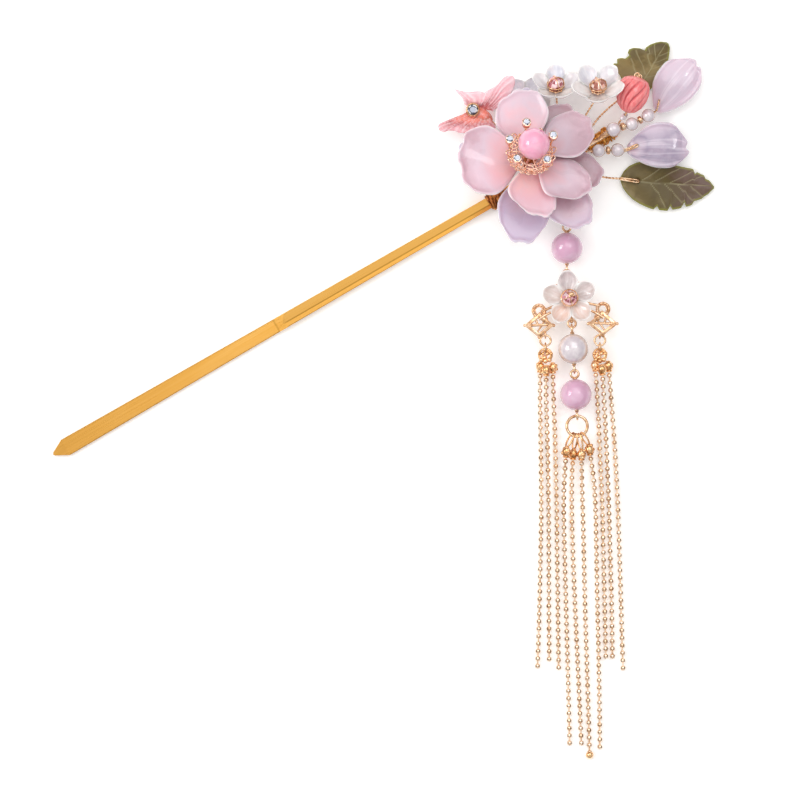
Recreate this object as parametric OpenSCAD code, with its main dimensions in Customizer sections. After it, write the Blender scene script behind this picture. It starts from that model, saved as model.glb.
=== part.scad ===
/* [Hair stick] */
// Distance from the flower's centre line to the blade's point
stick_reach = 141; // [110:1:160]
// Distance from the flower's centre line to the head's end
head_reach = 24.9; // [20:0.1:30]
// Width of the blade just behind its point
blade_w = 4.5; // [3.5:0.1:6]
// Width of the shaft where the blade meets it
shaft_w = 3.6; // [3:0.1:4.5]
// Width of the head
head_w = 2.5; // [2:0.1:3]
// Thickness of the flat blade
blade_t = 1.5; // [1.2:0.1:2]
// Thickness of the grooved shaft
shaft_t = 2.3; // [2:0.1:2.8]
// Length of the flat blade
blade_l = 65.6; // [50:0.1:80]
// Angle of the stick to the tassel's cross line
stick_turn = 30; // [20:1:40]

/* [Main flower] */
// Thickness of a resin petal
petal_t = 1.0; // [0.8:0.1:1.1]
// Lean of the back petals
back_lean = 8; // [0:1:12]
// Lean of the front petals
front_lean = 14; // [8:1:18]
// Lean of the stamen cup
cup_lean = 20; // [15:1:25]
// Diameter of the centre bead
centre_bead_d = 8; // [7:0.1:8.4]
// Radius of the ring of stamen stones
stamen_r = 5.75; // [5.4:0.05:6.2]

/* [Spray] */
// Diameter of the shell flowers
shell_d = 14.5; // [13:0.1:15]
// Diameter of the crystals in the shell flowers
crystal_d = 4; // [3:0.1:4.4]
// Length of the coral bud
bud_l = 9.7; // [8:0.1:10.5]
// Diameter of the coral bud
bud_d = 8.2; // [7:0.1:8.4]
// Thickness of a resin leaf
leaf_t = 1.0; // [0.7:0.1:1.2]
// Radius of the stem wire
stem_r = 0.3; // [0.2:0.05:0.35]

/* [Drop and tassel] */
// Diameter of the two mauve beads
drop_bead_d = 8; // [7:0.1:8.4]
// Diameter of the drop's pearl
drop_pearl_d = 7.7; // [7:0.1:8]
// Outer diameter of the tassel ring
tassel_ring_d = 6; // [5:0.1:6.4]
// Radius of an eye loop at the middle of its wire
eye_r = 1.0; // [0.95:0.05:1.1]
// Radius of an eye loop's wire
eye_wire_r = 0.3; // [0.2:0.05:0.32]
// Diameter of the tassel's ball chain
chain_d = 1.55; // [1.3:0.05:1.6]

/* [Hidden] */
$fn = 48;
gold = [0.93, 0.70, 0.36];
rose_gold = [0.89, 0.68, 0.50];
copper = [0.50, 0.28, 0.16];
blush = [0.96, 0.76, 0.78];
grey_lavender = [0.78, 0.71, 0.77];
lavender = [0.79, 0.72, 0.83];
mauve = [0.86, 0.68, 0.80];
pearl_white = [0.90, 0.88, 0.92];
shell_white = [0.90, 0.88, 0.90];
coral = [0.95, 0.47, 0.47];
olive = [0.44, 0.40, 0.23];
wing_pink = [0.94, 0.64, 0.68];
crystal_pink = [0.93, 0.72, 0.70];
clear = [0.92, 0.93, 0.97];

// Clearance between two pieces that lie against each other
seat = 0.3;
// Radius of a bore through a bead
bore_r = 0.5;
// Depth of the recesses under the stick that hold the binding
recess = 0.55;
// Where the two bindings start and end along the stick
front_binding = [-13.2, -7];
head_binding = [16, 24.2];
// Height of the line on which the drop's beads are threaded
line_z = 4.02;

function unit(v) = v / norm(v);
function along(s) = [s * cos(stick_turn), s * sin(stick_turn), 0];
function mid(p, q, k) = p + (q - p) * k;
function ease(x) = let (k = min(1, max(0, x))) k * k * (3 - 2 * k);

// Rod between two points
module rod(p, q, r) {
    d = q - p;
    translate(p)
        rotate([0, acos(d.z / norm(d)), atan2(d.y, d.x)])
            cylinder(h = norm(d), r = r);
}

// Wire ring, flat, or standing along the tassel
module link(centre, r, wire_r, standing = false) {
    translate(centre)
        rotate([0, standing ? 90 : 0, 0])
            rotate_extrude()
                translate([r, 0])
                    circle(wire_r, $fn = 24);
}

// Bead with a bore along a given direction
module drilled_bead(centre, d, turn) {
    translate(centre)
        rotate(turn)
            difference() {
                sphere(d = d, $fn = 64);
                cylinder(h = d + 1, r = bore_r, center = true);
            }
}

// Tube along a path, one radius for each ring
module tube(path, radii, sides = 8) {
    last = len(path) - 1;
    ahead = [for (i = [0 : last]) unit(path[min(i + 1, last)] - path[max(i - 1, 0)])];
    points = [for (i = [0 : last])
        let (side = unit(cross([0, 0, 1], ahead[i])), lift = cross(ahead[i], side))
        for (k = [0 : sides - 1])
            path[i] + radii[i] * (cos(360 * k / sides) * side + sin(360 * k / sides) * lift)];
    skin = [for (i = [0 : last - 1]) for (k = [0 : sides - 1])
        let (a = i * sides + k, b = i * sides + (k + 1) % sides)
        [a, a + sides, b + sides, b]];
    start_cap = [for (k = [0 : sides - 1]) k];
    end_cap = [for (k = [sides - 1 : -1 : 0]) last * sides + k];
    polyhedron(points = points, faces = concat([start_cap, end_cap], skin));
}

// Closed shell over a grid from its upper skin and a thickness, u from 0 to 1 and v from -1 to 1
module shell(rows, cols, skin_at, thickness) {
    grid = [for (i = [0 : rows]) for (j = [0 : cols]) [i / rows, 2 * j / cols - 1]];
    upper = [for (g = grid) skin_at(g[0], g[1])];
    lower = [for (g = grid) skin_at(g[0], g[1]) - [0, 0, thickness(g[0], g[1])]];
    wide = cols + 1;
    below = len(upper);
    cells = [for (i = [0 : rows - 1]) for (j = [0 : cols - 1]) i * wide + j];
    top_faces = [for (a = cells)
        each [[a, a + 1, a + wide + 1], [a, a + wide + 1, a + wide]]];
    bottom_faces = [for (a = cells)
        each [[a + below, a + below + wide + 1, a + below + 1],
            [a + below, a + below + wide, a + below + wide + 1]]];
    rim = concat([for (j = [0 : cols]) j],
        [for (i = [1 : rows]) i * wide + cols],
        [for (j = [cols - 1 : -1 : 0]) rows * wide + j],
        [for (i = [rows - 1 : -1 : 1]) i * wide]);
    sides = [for (k = [0 : len(rim) - 1])
        let (a = rim[k], b = rim[(k + 1) % len(rim)])
        each [[a, a + below, b + below], [a, b + below, b]]];
    polyhedron(points = concat(upper, lower),
        faces = concat(top_faces, bottom_faces, sides));
}

// Stick, from its point at the left to its head
module hair_stick() {
    blade_end = -stick_reach + blade_l;
    shoulder = 3.7;
    ramp_l = 3.2;
    groove_d = 0.4;
    crease = -0.5;
    chamfer = 0.35;
    recess_margin = 0.4;
    outline = [[-stick_reach + 0.3, -0.45], [-stick_reach, 0], [-stick_reach + 0.3, 0.45],
        [-stick_reach + shoulder, blade_w / 2], [blade_end, shaft_w / 2],
        [head_reach, head_w / 2], [head_reach, -head_w / 2],
        [blade_end, -shaft_w / 2], [-stick_reach + shoulder, -blade_w / 2]];
    side_view = [[-stick_reach, 0.35], [-stick_reach + 1.2, 0], [head_reach, 0],
        [head_reach, shaft_t], [blade_end + ramp_l, shaft_t], [blade_end, blade_t],
        [-stick_reach + shoulder, blade_t], [-stick_reach, 1.15]];
    blade_edge = atan2((blade_w - shaft_w) / 2, blade_l - shoulder);
    shaft_edge = atan2((shaft_w - head_w) / 2, head_reach - blade_end);
    color(gold)
        rotate([0, 0, stick_turn])
            difference() {
                intersection() {
                    linear_extrude(height = shaft_t)
                        polygon(outline);
                    translate([0, blade_w, 0])
                        rotate([90, 0, 0])
                            linear_extrude(height = 2 * blade_w)
                                polygon(side_view);
                }
                translate([blade_end - 3, 0, shaft_t - groove_d])
                    rotate([90, 0, 90])
                        linear_extrude(height = head_reach - blade_end + 10)
                            polygon([[crease, 0], [shaft_w - crease, 2 * groove_d],
                                [-shaft_w - crease, 2 * groove_d]]);
                for (side = [-1, 1]) {
                    translate([blade_end, side * shaft_w / 2, shaft_t])
                        rotate([0, 0, -side * shaft_edge])
                            rotate([45, 0, 0])
                                translate([0, -chamfer / 2, -chamfer / 2])
                                    cube([head_reach - blade_end + 5, chamfer, chamfer]);
                    translate([blade_end, side * shaft_w / 2, blade_t])
                        rotate([0, 0, 180 - side * blade_edge])
                            rotate([45, 0, 0])
                                translate([0, -chamfer / 2, -chamfer / 2])
                                    cube([blade_l - shoulder, chamfer, chamfer]);
                }
                for (span = [front_binding, head_binding])
                    translate([span[0] - recess_margin, -blade_w, -1])
                        cube([span[1] - span[0] + 2 * recess_margin, 2 * blade_w, 1 + recess]);
            }
}

// Wound wire, each binding a sleeve round the stick
module binding_wire() {
    clearance = 0.06;
    wire_d = 0.45;
    color(copper)
        rotate([0, 0, stick_turn])
            for (span = [front_binding, head_binding])
                translate([span[0], 0, 0])
                    rotate([90, 0, 90])
                        linear_extrude(height = span[1] - span[0])
                            sleeve_profile(span, clearance, wire_d);
}

module sleeve_profile(span, clearance, wire_d) {
    slope = (shaft_w - head_w) / (stick_reach - blade_l + head_reach);
    half = (head_w + slope * (head_reach - span[0])) / 2 + clearance;
    low = recess - clearance;
    high = shaft_t + clearance;
    difference() {
        hull()
            for (side = [-1, 1])
                for (z = [low, high])
                    translate([side * half, z])
                        circle(wire_d, $fn = 24);
        translate([-half, low])
            square([2 * half, high - low]);
    }
}

// Frames of the flower's layers: place, then lean towards the upper side of the spray
back_hub = [-0.8, 3.6, 6.8];
front_hub = [-0.8, 5.0, 10.7];
cup_hub = [-0.8, 5.9, 14.4];

module in_layer(hub, lean) {
    translate(hub)
        rotate([-lean, 3, 0])
            children();
}

// Hidden post and discs that carry the petals, on the stick's top
module flower_base() {
    disc_r = 2.0;
    disc_t = 0.7;
    post_r = 0.8;
    foot = [0.4, 0.25, shaft_t + 2 * seat];
    color(gold) {
        rod(foot, back_hub, post_r);
        rod(mid(foot, back_hub, 0.9), front_hub, post_r * 0.9);
        rod(mid(back_hub, front_hub, 0.9), mid(front_hub, cup_hub, 0.72), post_r * 0.8);
        in_layer(back_hub, back_lean)
            translate([0, 0, -disc_t - 0.2])
                cylinder(h = disc_t, r = disc_r);
        in_layer(front_hub, front_lean)
            translate([0, 0, -disc_t - 0.2])
                cylinder(h = disc_t, r = disc_r);
    }
}

// Petal columns: turn, length, left half width, right half width, skew, lift, tip cut, wave
TURN = 0;
LENGTH = 1;
LEFT_W = 2;
RIGHT_W = 3;
SKEW = 4;
LIFT = 5;
TIP = 6;
WAVE = 7;
front_top = [102, 17.1, 6.8, 6.6, 0.4, 0, 0.12, 0.35];
front_left = [188, 18.6, 9.0, 8.6, 0.4, 0, 0.18, 0.45];
front_bottom = [277, 16.6, 5.0, 7.4, 1.6, 0, 0.24, 0.25];
front_low_right = [323, 17.6, 5.6, 6.6, 1.4, 0, 0.30, 0.25];
front_up_right = [29, 17.6, 5.9, 6.6, 0.3, 0, 0.24, 0.35];
back_top = [93, 18.9, 5.4, 5.6, 0, 0, 0.34, 0.3];
back_left = [171, 18.4, 6.0, 6.2, 0, 0, 0.28, 0.4];
back_bottom = [263, 21.4, 6.6, 7.1, 0, 0, 0.28, 0.4];
back_low_right = [309, 21.8, 6.3, 6.0, 0.6, 1.3, 0.24, 0.35];
back_right = [349, 18.8, 5.6, 5.8, 0, 0, 0.30, 0.3];
back_up_right = [54, 17.4, 5.6, 5.8, 0, 1.3, 0.30, 0.3];

// Rise of a petal's raised side over the next petal's lowered side, for 72 degrees of turn
front_spiral = 3.0;
back_spiral = 0;
front_cone = 0.10;
back_cone = 0.03;
front_cupping = 0.8;
back_cupping = 0.3;
petal_root = 1.9;

function petal_width(u) = 0.06 + 0.94 * sin(90 * min(1, u / 0.62)) - 0.62 * pow(max(0, u - 0.62), 1.6);

function petal_point(p, spiral, cone, cupping, u, v) =
    let (reach = p[LENGTH] - petal_root,
        wave = p[WAVE] * sin(520 * v + p[TURN]) * pow(u, 6),
        a = petal_root + reach * u * (1 - p[TIP] * pow(abs(v), 2.4) * u) + p[SKEW] * v * u * u * u + wave,
        b = v * (v > 0 ? p[LEFT_W] : p[RIGHT_W]) * petal_width(u),
        r = norm([a, b]),
        off = atan2(b, a),
        h = petal_t + 0.1 + p[LIFT] + cone * max(0, r - 3)
            + 0.0045 * pow(max(0, r - 6), 2)
            - spiral * off / 72 * ease((r - 1.2) / 3)
            + cupping * v * v * ease(u / 0.7) * (1 - 0.4 * u))
    [a, b, h];

module petal(p, spiral, cone, cupping) {
    skin_at = function(u, v) petal_point(p, spiral, cone, cupping, u, v);
    thickness = function(u, v) petal_t * (1 - 0.3 * pow(max(abs(v), u), 4));
    rotate([0, 0, p[TURN]])
        shell(8, 8, skin_at, thickness);
}

module front_petal(p) {
    color(blush)
        in_layer(front_hub, front_lean)
            petal(p, front_spiral, front_cone, front_cupping);
}

module back_petal(p) {
    color(grey_lavender)
        in_layer(back_hub, back_lean)
            petal(p, back_spiral, back_cone, back_cupping);
}

// Stamen cup: pierced dish, rim and five stone cups on arms, soldered
stamen_turns = [103, 170, 227, 309, 22];
stone_h = 6.6;
stone_d = 1.7;

module stamen_cup() {
    dish_r = 5.4;
    dish_t = 0.7;
    spoke_w = 0.5;
    cup_r = 1.05;
    color(gold)
        in_layer(cup_hub, cup_lean) {
            linear_extrude(height = dish_t)
                difference() {
                    union() {
                        circle(1.9);
                        for (r = [3.6, dish_r])
                            difference() {
                                circle(r + 0.35);
                                circle(r - 0.35);
                            }
                        for (k = [0 : 9])
                            rotate([0, 0, 36 * k])
                                translate([1, -spoke_w / 2])
                                    square([dish_r - 1, spoke_w]);
                    }
                    circle(0.7);
                }
            for (t = stamen_turns)
                rotate([0, 0, t]) {
                    rod([dish_r - 0.1, 0, 0.2], [stamen_r, 0, stone_h - 0.8], 0.36);
                    translate([stamen_r, 0, stone_h - 1.0])
                        stone_setting(cup_r, stone_d / 2 + 0.06);
                }
        }
}

// Round cup with a seat for one stone
module stone_setting(outer_r, inner_r) {
    difference() {
        cylinder(h = 1.1, r = outer_r);
        translate([0, 0, 0.4])
            cylinder(h = 2, r = inner_r);
    }
}

// Round stone with a flat table and crown facets
module cut_stone(d, sides = 8) {
    cylinder(h = 0.45, d1 = 0.5 * d, d2 = d, $fn = sides);
    translate([0, 0, 0.45])
        cylinder(h = 0.35, d1 = d, d2 = 0.6 * d, $fn = sides);
}

module stamen_stones() {
    color(clear)
        in_layer(cup_hub, cup_lean)
            for (t = stamen_turns)
                rotate([0, 0, t])
                    translate([stamen_r, 0, stone_h - 0.5])
                        cut_stone(stone_d);
}

module centre_bead() {
    color(blush)
        in_layer(cup_hub, cup_lean)
            drilled_bead([0.5, 0.3, 5.1], centre_bead_d, [0, 50, 52]);
}

// Butterfly: two folded wing pairs from one body, outlines about the stone
butterfly = [-15.2, 17.1, 4.1];
upper_wings = [[-4.9, 5.3], [-2.5, 4.6], [1.7, 4.8], [2.9, 4.2], [3.8, 5.1], [5.1, 5.6],
    [6.5, 6.7], [7.2, 7.8], [8.2, 8.5], [9.4, 8.9], [10.4, 8.6], [10.7, 7.0], [10.2, 5.3],
    [8.6, 2.5], [7.2, 1.3], [5.9, 0.3], [4.6, -0.7], [2.4, 0.2], [0.6, 1.0], [-1.7, 1.3],
    [-2.5, 2.5], [-2.6, 3.6], [-4.0, 4.4]];
lower_wings = [[-8.6, -3.6], [-8.6, -5.3], [-7.6, -5.7], [-5.1, -5.3], [-2.6, -6.1], [-0.8, -5.9],
    [0.9, -5.2], [5.9, -4.8], [4.3, -2.9], [4.2, -1.2], [2.4, -0.4], [0.4, -1.4], [-2.5, -1.9],
    [-5.7, -2.9]];

module butterfly_wings() {
    wing_t = 0.9;
    upper_rise = 12;
    lower_rise = 16;
    color(wing_pink)
        translate(butterfly)
            union() {
                rotate([upper_rise, 0, 0])
                    translate([0, 0, -wing_t])
                        linear_extrude(height = wing_t)
                            polygon(upper_wings);
                rotate([-lower_rise, 0, 0])
                    translate([0, 0, -wing_t])
                        linear_extrude(height = wing_t)
                            polygon(lower_wings);
                translate([0, 0, -wing_t / 2])
                    rod([-1.4, 0.6, 0], [5.2, -0.9, 0], 0.75);
            }
}

module butterfly_setting() {
    color(gold)
        translate(butterfly + [-0.1, 0, 0.95])
            stone_setting(1.6, 1.35);
}

module butterfly_stone() {
    color(clear)
        translate(butterfly + [-0.1, 0, 1.42])
            cut_stone(2.6, 12);
}

// Five-petalled shell flower as one carved shell, centre at the origin
module shell_flower(d, cone, start) {
    spokes = 40;
    rings = 4;
    t = 0.7;
    root = 0.6;
    function petal_edge(a) =
        let (k = abs(cos(2.5 * a)), notch = 0.07 * pow(k, 30))
        0.42 + 0.58 * pow(k, 0.45) - notch;
    function shell_point(i, j) =
        let (a = 360 * j / spokes,
            side = abs(sin(2.5 * a)),
            f = i / rings,
            r = root + (d / 2 - root) * f * petal_edge(a),
            z = tan(cone) * r + 1.1 * f * side * side * (1 - 0.5 * f))
        [r * cos(a + start), r * sin(a + start), z];
    upper = [for (i = [0 : rings]) for (j = [0 : spokes - 1]) shell_point(i, j) + [0, 0, t]];
    lower = [for (i = [0 : rings]) for (j = [0 : spokes - 1]) shell_point(i, j)];
    below = len(upper);
    cells = [for (i = [0 : rings - 1]) for (j = [0 : spokes - 1])
        [i * spokes + j, i * spokes + (j + 1) % spokes]];
    top_faces = [for (c = cells)
        each [[c[0], c[1], c[1] + spokes], [c[0], c[1] + spokes, c[0] + spokes]]];
    bottom_faces = [for (c = cells)
        each [[c[0] + below, c[1] + below + spokes, c[1] + below],
            [c[0] + below, c[0] + below + spokes, c[1] + below + spokes]]];
    rim_start = rings * spokes;
    edges = [for (j = [0 : spokes - 1])
        let (n = (j + 1) % spokes, a = rim_start + j, b = rim_start + n)
        each [[a, b, b + below], [a, b + below, a + below],
            [j, j + below, n + below], [j, n + below, n]]];
    polyhedron(points = concat(upper, lower), faces = concat(top_faces, bottom_faces, edges));
}

// Crystal with facets in a wire cradle
module crystal(d) {
    difference() {
        sphere(d = d, $fn = 10);
        cylinder(h = d + 2, r = 0.45, center = true, $fn = 24);
    }
}

// Shell flower columns: hub, lean from the tassel, tilt to the stick's side, diameter, cone, start turn
HUB = 0;
LEAN = 1;
TILT = 2;
SPAN = 3;
CONE = 4;
START = 5;
flower_left = [[-1.6, 20.0, 1.2], 0, 0, 12.6, 6, 60];
flower_middle = [[5.8, 21.4, 3.9], -42, -2, 12.6, 28, 18];
flower_right = [[16.5, 20.8, 7.3], -40, -3, 14.2, 28, 54];
flower_drop = [[9.2, -31.0, 4.8], -6, 0, 14.5, 14, 96];

module place_flower(f) {
    translate(f[HUB])
        rotate([f[LEAN], f[TILT], 0])
            children();
}

module placed_shell(f) {
    color(shell_white)
        place_flower(f)
            shell_flower(f[SPAN] * shell_d / 14.5, f[CONE], f[START]);
}

module placed_crystal(f, rise) {
    color(crystal_pink)
        place_flower(f)
            translate([0, 0, rise])
                crystal(crystal_d);
}

// Ribbed bud, one solid of revolution with scalloped sections
bud_foot = [23.9, 16.2, 6.5];
bud_pearl_at = [22.95, 15.3, 5.65];
bud_turn = 14.5;

module coral_bud() {
    ribs = 8;
    spokes = 32;
    // Bud columns: part of the length, part of the radius
    profile = [[0, 0.16], [0.06, 0.42], [0.2, 0.74], [0.4, 0.97],
        [0.6, 1.0], [0.78, 0.88], [0.92, 0.60], [1, 0.24]];
    last = len(profile) - 1;
    points = [for (i = [0 : last]) for (k = [0 : spokes - 1])
        let (a = 360 * k / spokes,
            twist = 26 * profile[i][0],
            groove = 1 - 0.10 * pow(abs(sin(ribs * (a + twist) / 2)), 3) * sin(180 * profile[i][0]),
            r = bud_d / 2 * profile[i][1] * groove)
        [r * cos(a), bud_l * profile[i][0], -r * sin(a)]];
    skin = [for (i = [0 : last - 1]) for (k = [0 : spokes - 1])
        let (a = i * spokes + k, b = i * spokes + (k + 1) % spokes)
        [a, a + spokes, b + spokes, b]];
    ends = [[for (k = [0 : spokes - 1]) k], [for (k = [spokes - 1 : -1 : 0]) last * spokes + k]];
    color(coral)
        translate(bud_foot)
            rotate([4, 0, -bud_turn])
                difference() {
                    polyhedron(points = points, faces = concat(ends, skin));
                    translate([0, -1, 0])
                        rotate([-90, 0, 0])
                            cylinder(h = bud_l + 2, r = bore_r, $fn = 24);
                }
}

// Leaf edge columns: part of the length, left half width, right half width
upper_edge = [[0, 0.6, 0.6], [0.08, 4.2, 2.2], [0.19, 8.4, 2.9], [0.32, 8.2, 3.5], [0.44, 6.7, 3.5],
    [0.55, 7.0, 3.3], [0.64, 6.2, 3.2], [0.7, 4.2, 3.1], [0.84, 3.2, 2.4], [0.94, 1.9, 1.6], [1, 0.7, 0.6]];
lower_edge = [[0, 1.4, 1.4], [0.08, 3.4, 3.6], [0.22, 4.9, 5.9], [0.4, 5.3, 7.0], [0.55, 5.0, 6.9],
    [0.6, 4.5, 5.9], [0.72, 4.2, 5.4], [0.77, 3.2, 4.2], [0.88, 2.2, 3.0], [1, 0.3, 0.4]];

module leaf(length, edge, fold) {
    left = [for (e = edge) [e[0], e[1]]];
    right = [for (e = edge) [e[0], e[2]]];
    skin_at = function(u, v)
        let (w = lookup(u, v > 0 ? left : right))
        [length * u, v * w, leaf_t + fold * abs(v) * sin(150 * u + 15)];
    thickness = function(u, v) leaf_t * (1 - 0.35 * abs(v));
    shell(14, 6, skin_at, thickness);
}

leaf_upper_base = [25.6, 21.4, 0.25];
leaf_lower_base = [22.3, -0.2, 0.25];
leaf_hole_r = 0.55;

module leaf_upper() {
    color(olive)
        translate(leaf_upper_base)
            rotate([0, 0, 56])
                difference() {
                    leaf(15.6, upper_edge, 0.6);
                    translate([1.8, 0, -1])
                        cylinder(h = 4, r = leaf_hole_r, $fn = 24);
                }
}

module leaf_lower() {
    color(olive)
        translate(leaf_lower_base)
            rotate([0, 0, -5.5])
                difference() {
                    leaf(24, lower_edge, 0.8);
                    translate([4.4, 0, -1])
                        cylinder(h = 4, r = leaf_hole_r, $fn = 24);
                }
}

// Lavender petal columns: part of the length, left half width, right half width
bloom_edge = [[0, 0.10, 0.10], [0.12, 0.48, 0.5], [0.3, 0.84, 0.8], [0.5, 0.99, 0.98], [0.66, 1, 1],
    [0.82, 0.93, 0.93], [1, 0.62, 0.66]];

module bloom_petal(length, left_w, right_w) {
    left = [for (e = bloom_edge) [e[0], e[1]]];
    right = [for (e = bloom_edge) [e[0], e[2]]];
    skin_at = function(u, v)
        let (w = v > 0 ? left_w * lookup(u, left) : right_w * lookup(u, right),
            dip = 0.8 * pow(max(0, 1 - abs(v) * 2.2), 1) * pow(u, 6),
            a = length * u * (1 - 0.16 * v * v * u * u) - dip)
        [a, v * w, 1.1 + 1.7 * sin(160 * u + 8) * (1 - 0.8 * v * v) * min(1, w / 4)];
    thickness = function(u, v) 1.0;
    difference() {
        shell(9, 8, skin_at, thickness);
        translate([bloom_hole.x, bloom_hole.y, -1])
            cylinder(h = 6, r = leaf_hole_r, $fn = 24);
    }
}

bloom_hole = [2.8, 1.3];
bloom_upper_turn = 51;
bloom_upper_base = [31.3, 16.6, 2.2];
bloom_lower_base = [23.6, 7.0, 2.5];

module lavender_petal_upper() {
    color(lavender)
        translate(bloom_upper_base)
            rotate([0, 0, bloom_upper_turn])
                bloom_petal(16.8, 6.3, 5.0);
}

module lavender_petal_lower() {
    color(lavender)
        translate(bloom_lower_base)
            bloom_petal(16.4, 7.1, 4.7);
}

// Small pearls: centre and diameter, in the order of the two strings
pearl_at = [[20.4, 12.1, 6.0], [25.1, 13.5, 4.7], [29.3, 15.7, 4.1], [16.7, 6.7, 5.0], [21.5, 6.9, 4.4]];
pearl_size = [3.7, 3.4, 3.5, 3.4, 3.5];

function heading(p, q) = let (d = q - p) [0, acos(d.z / norm(d)), atan2(d.y, d.x)];

module small_pearl(i) {
    from = pearl_at[[0, 0, 1, 3, 3][i]];
    to = pearl_at[[1, 2, 2, 4, 4][i]];
    color(pearl_white)
        drilled_bead(pearl_at[i], pearl_size[i], heading(from, to));
}

module bud_pearl() {
    color(pearl_white)
        drilled_bead(bud_pearl_at, 2.1, heading(bud_pearl_at, bud_foot));
}

// Gold discs between the pearls
module pearl_spacers() {
    color(gold)
        for (pair = [[0, 1], [1, 2], [3, 4]])
            let (p = pearl_at[pair[0]], q = pearl_at[pair[1]],
                gap = norm(q - p) - (pearl_size[pair[0]] + pearl_size[pair[1]]) / 2,
                at = mid(p, q, (pearl_size[pair[0]] / 2 + gap / 2) / norm(q - p)))
            translate(at)
                rotate(heading(p, q))
                    difference() {
                        cylinder(h = gap - 0.3, r = 0.95, center = true);
                        cylinder(h = gap + 1, r = bore_r, center = true, $fn = 24);
                    }
}

// Bound stems: a bundle on the stick, with one wire to each piece of the spray
bundle_start = along(3.6) + [0, 0, shaft_t + 1.2];
bundle_end = along(24.6) + [0, 0, shaft_t + 1.2];

module stem(points, r = stem_r) {
    for (i = [1 : len(points) - 1])
        hull()
            for (p = [points[i - 1], points[i]])
                translate(p)
                    sphere(r, $fn = 8);
}

function beyond(p, q, reach) = q + unit(q - p) * reach;

// Wire that rises over a lavender petal's root and goes down through its hole
function hook(base, turn) =
    let (c = cos(turn), s = sin(turn),
        hole = base + [bloom_hole.x * c - bloom_hole.y * s, bloom_hole.x * s + bloom_hole.y * c, 0],
        before = mid(base, hole, 0.5))
    [before + [0, 0, 2.75], hole + [0, 0, 2.9], hole + [0, 0, 0.4], before - [0, 0, 0.2]];

function branch(k) = mid(bundle_start, bundle_end, k);

module stem_wires() {
    bundle_r = 0.55;
    under = [0, 0, 0.5];
    upper_in = beyond(pearl_at[1], pearl_at[0], 2.3);
    upper_out = beyond(pearl_at[1], pearl_at[2], 2.4);
    lower_in = beyond(pearl_at[4], pearl_at[3], 2.2);
    lower_out = beyond(pearl_at[3], pearl_at[4], 2.4);
    color(gold) {
        stem([bundle_start, bundle_end], bundle_r);
        stem([branch(0.15), [5.6, 12.2, 3.6], [6.2, 18.4, 3.9], flower_middle[HUB] - under]);
        stem([branch(0.4), [12.4, 14.2, 4.6], [15.0, 18.4, 5.6], flower_right[HUB] - under]);
        stem([branch(0.5), [15.0, 13.5, 3.4], [20.4, 18.9, 2.2], [26.6, 22.9, 2.1], [26.6, 22.9, 0.5]]);
        stem([branch(0.3), [9.0, 2.4, 3.0], [17.5, 0, 2.3], [22.6, -0.3, 2.3],
            [26.7, -0.62, 2.3], [26.7, -0.62, 0.5]]);
        stem([branch(0.7), upper_in, pearl_at[0], pearl_at[1], pearl_at[2], upper_out,
            each hook(bloom_upper_base, bloom_upper_turn)]);
        stem([branch(0.5), lower_in, pearl_at[3], pearl_at[4], lower_out,
            each hook(bloom_lower_base, 0)]);
        stem([bundle_end, beyond(bud_foot, bud_pearl_at, 1.5), bud_foot + [0, 0, 0.1],
            bud_foot + [2.45, 9.6, 0.65]]);
        stem([branch(0.02), [-6.5, 10.6, 3.6], [-12.2, 15.8, 2.9]]);
        stem([branch(0.08), [-0.5, 12.4, 1.2], flower_left[HUB] - under]);
    }
}

// Drop: centre line from the flower down to the tassel ring
top_bead = [8.6, -18.0, line_z];
drop_pearl_at = [10.2, -43.6, line_z];
low_bead = [10.9, -55.25, line_z];
link_step = 1.3;

// Lean of the line through the drop's pearl and the low bead
low_turn = atan2(low_bead.x - drop_pearl_at.x, drop_pearl_at.y - low_bead.y);

function eye_offset(d, turn) = (d / 2 + 0.25 + eye_r) * [-sin(turn), cos(turn), 0];
function upper_eye(at, d, turn = 0) = at + eye_offset(d, turn);
function lower_eye(at, d, turn = 0) = at - eye_offset(d, turn);

// Eye pin through a bead, with an eye at each end
module eye_pin(at, d, turn, upper_standing) {
    half = d / 2 + 0.25;
    translate(at)
        rotate([0, 0, turn]) {
            rod([0, half + eye_wire_r, 0], [0, -half - eye_wire_r, 0], 0.32);
            link([0, half + eye_r, 0], eye_r, eye_wire_r, upper_standing);
            link([0, -half - eye_r, 0], eye_r, eye_wire_r, true);
        }
}

module drop_pins() {
    color(gold) {
        eye_pin(top_bead, drop_bead_d, 0, false);
        eye_pin(drop_pearl_at, drop_pearl_d, low_turn, true);
        eye_pin(low_bead, drop_bead_d, low_turn, false);
    }
}

module drop_hanger() {
    hang_eye = upper_eye(top_bead, drop_bead_d) + [0, link_step, 0];
    root = [4.7, 1.0, shaft_t + 1.1];
    color(gold) {
        link(hang_eye, eye_r, eye_wire_r, true);
        rod(root, hang_eye + [0, eye_r, 0], 0.35);
        translate(root)
            sphere(0.6, $fn = 24);
    }
}

module drop_bead_top() {
    color(mauve)
        drilled_bead(top_bead, drop_bead_d, [90, 0, 0]);
}

module drop_pearl() {
    color(pearl_white)
        drilled_bead(drop_pearl_at, drop_pearl_d, [90, 0, low_turn]);
}

module drop_bead_low() {
    color(mauve)
        drilled_bead(low_bead, drop_bead_d, [90, 0, low_turn]);
}

// Pierced connector behind the drop's shell flower
connector_t = 0.9;
connector_z = line_z - connector_t / 2;
wing_left = [-7.7, -2.95];
wing_right = [9.0, -2.5];
side_loops = [[-6.05, -9.0], [7.8, -8.95]];

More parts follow.
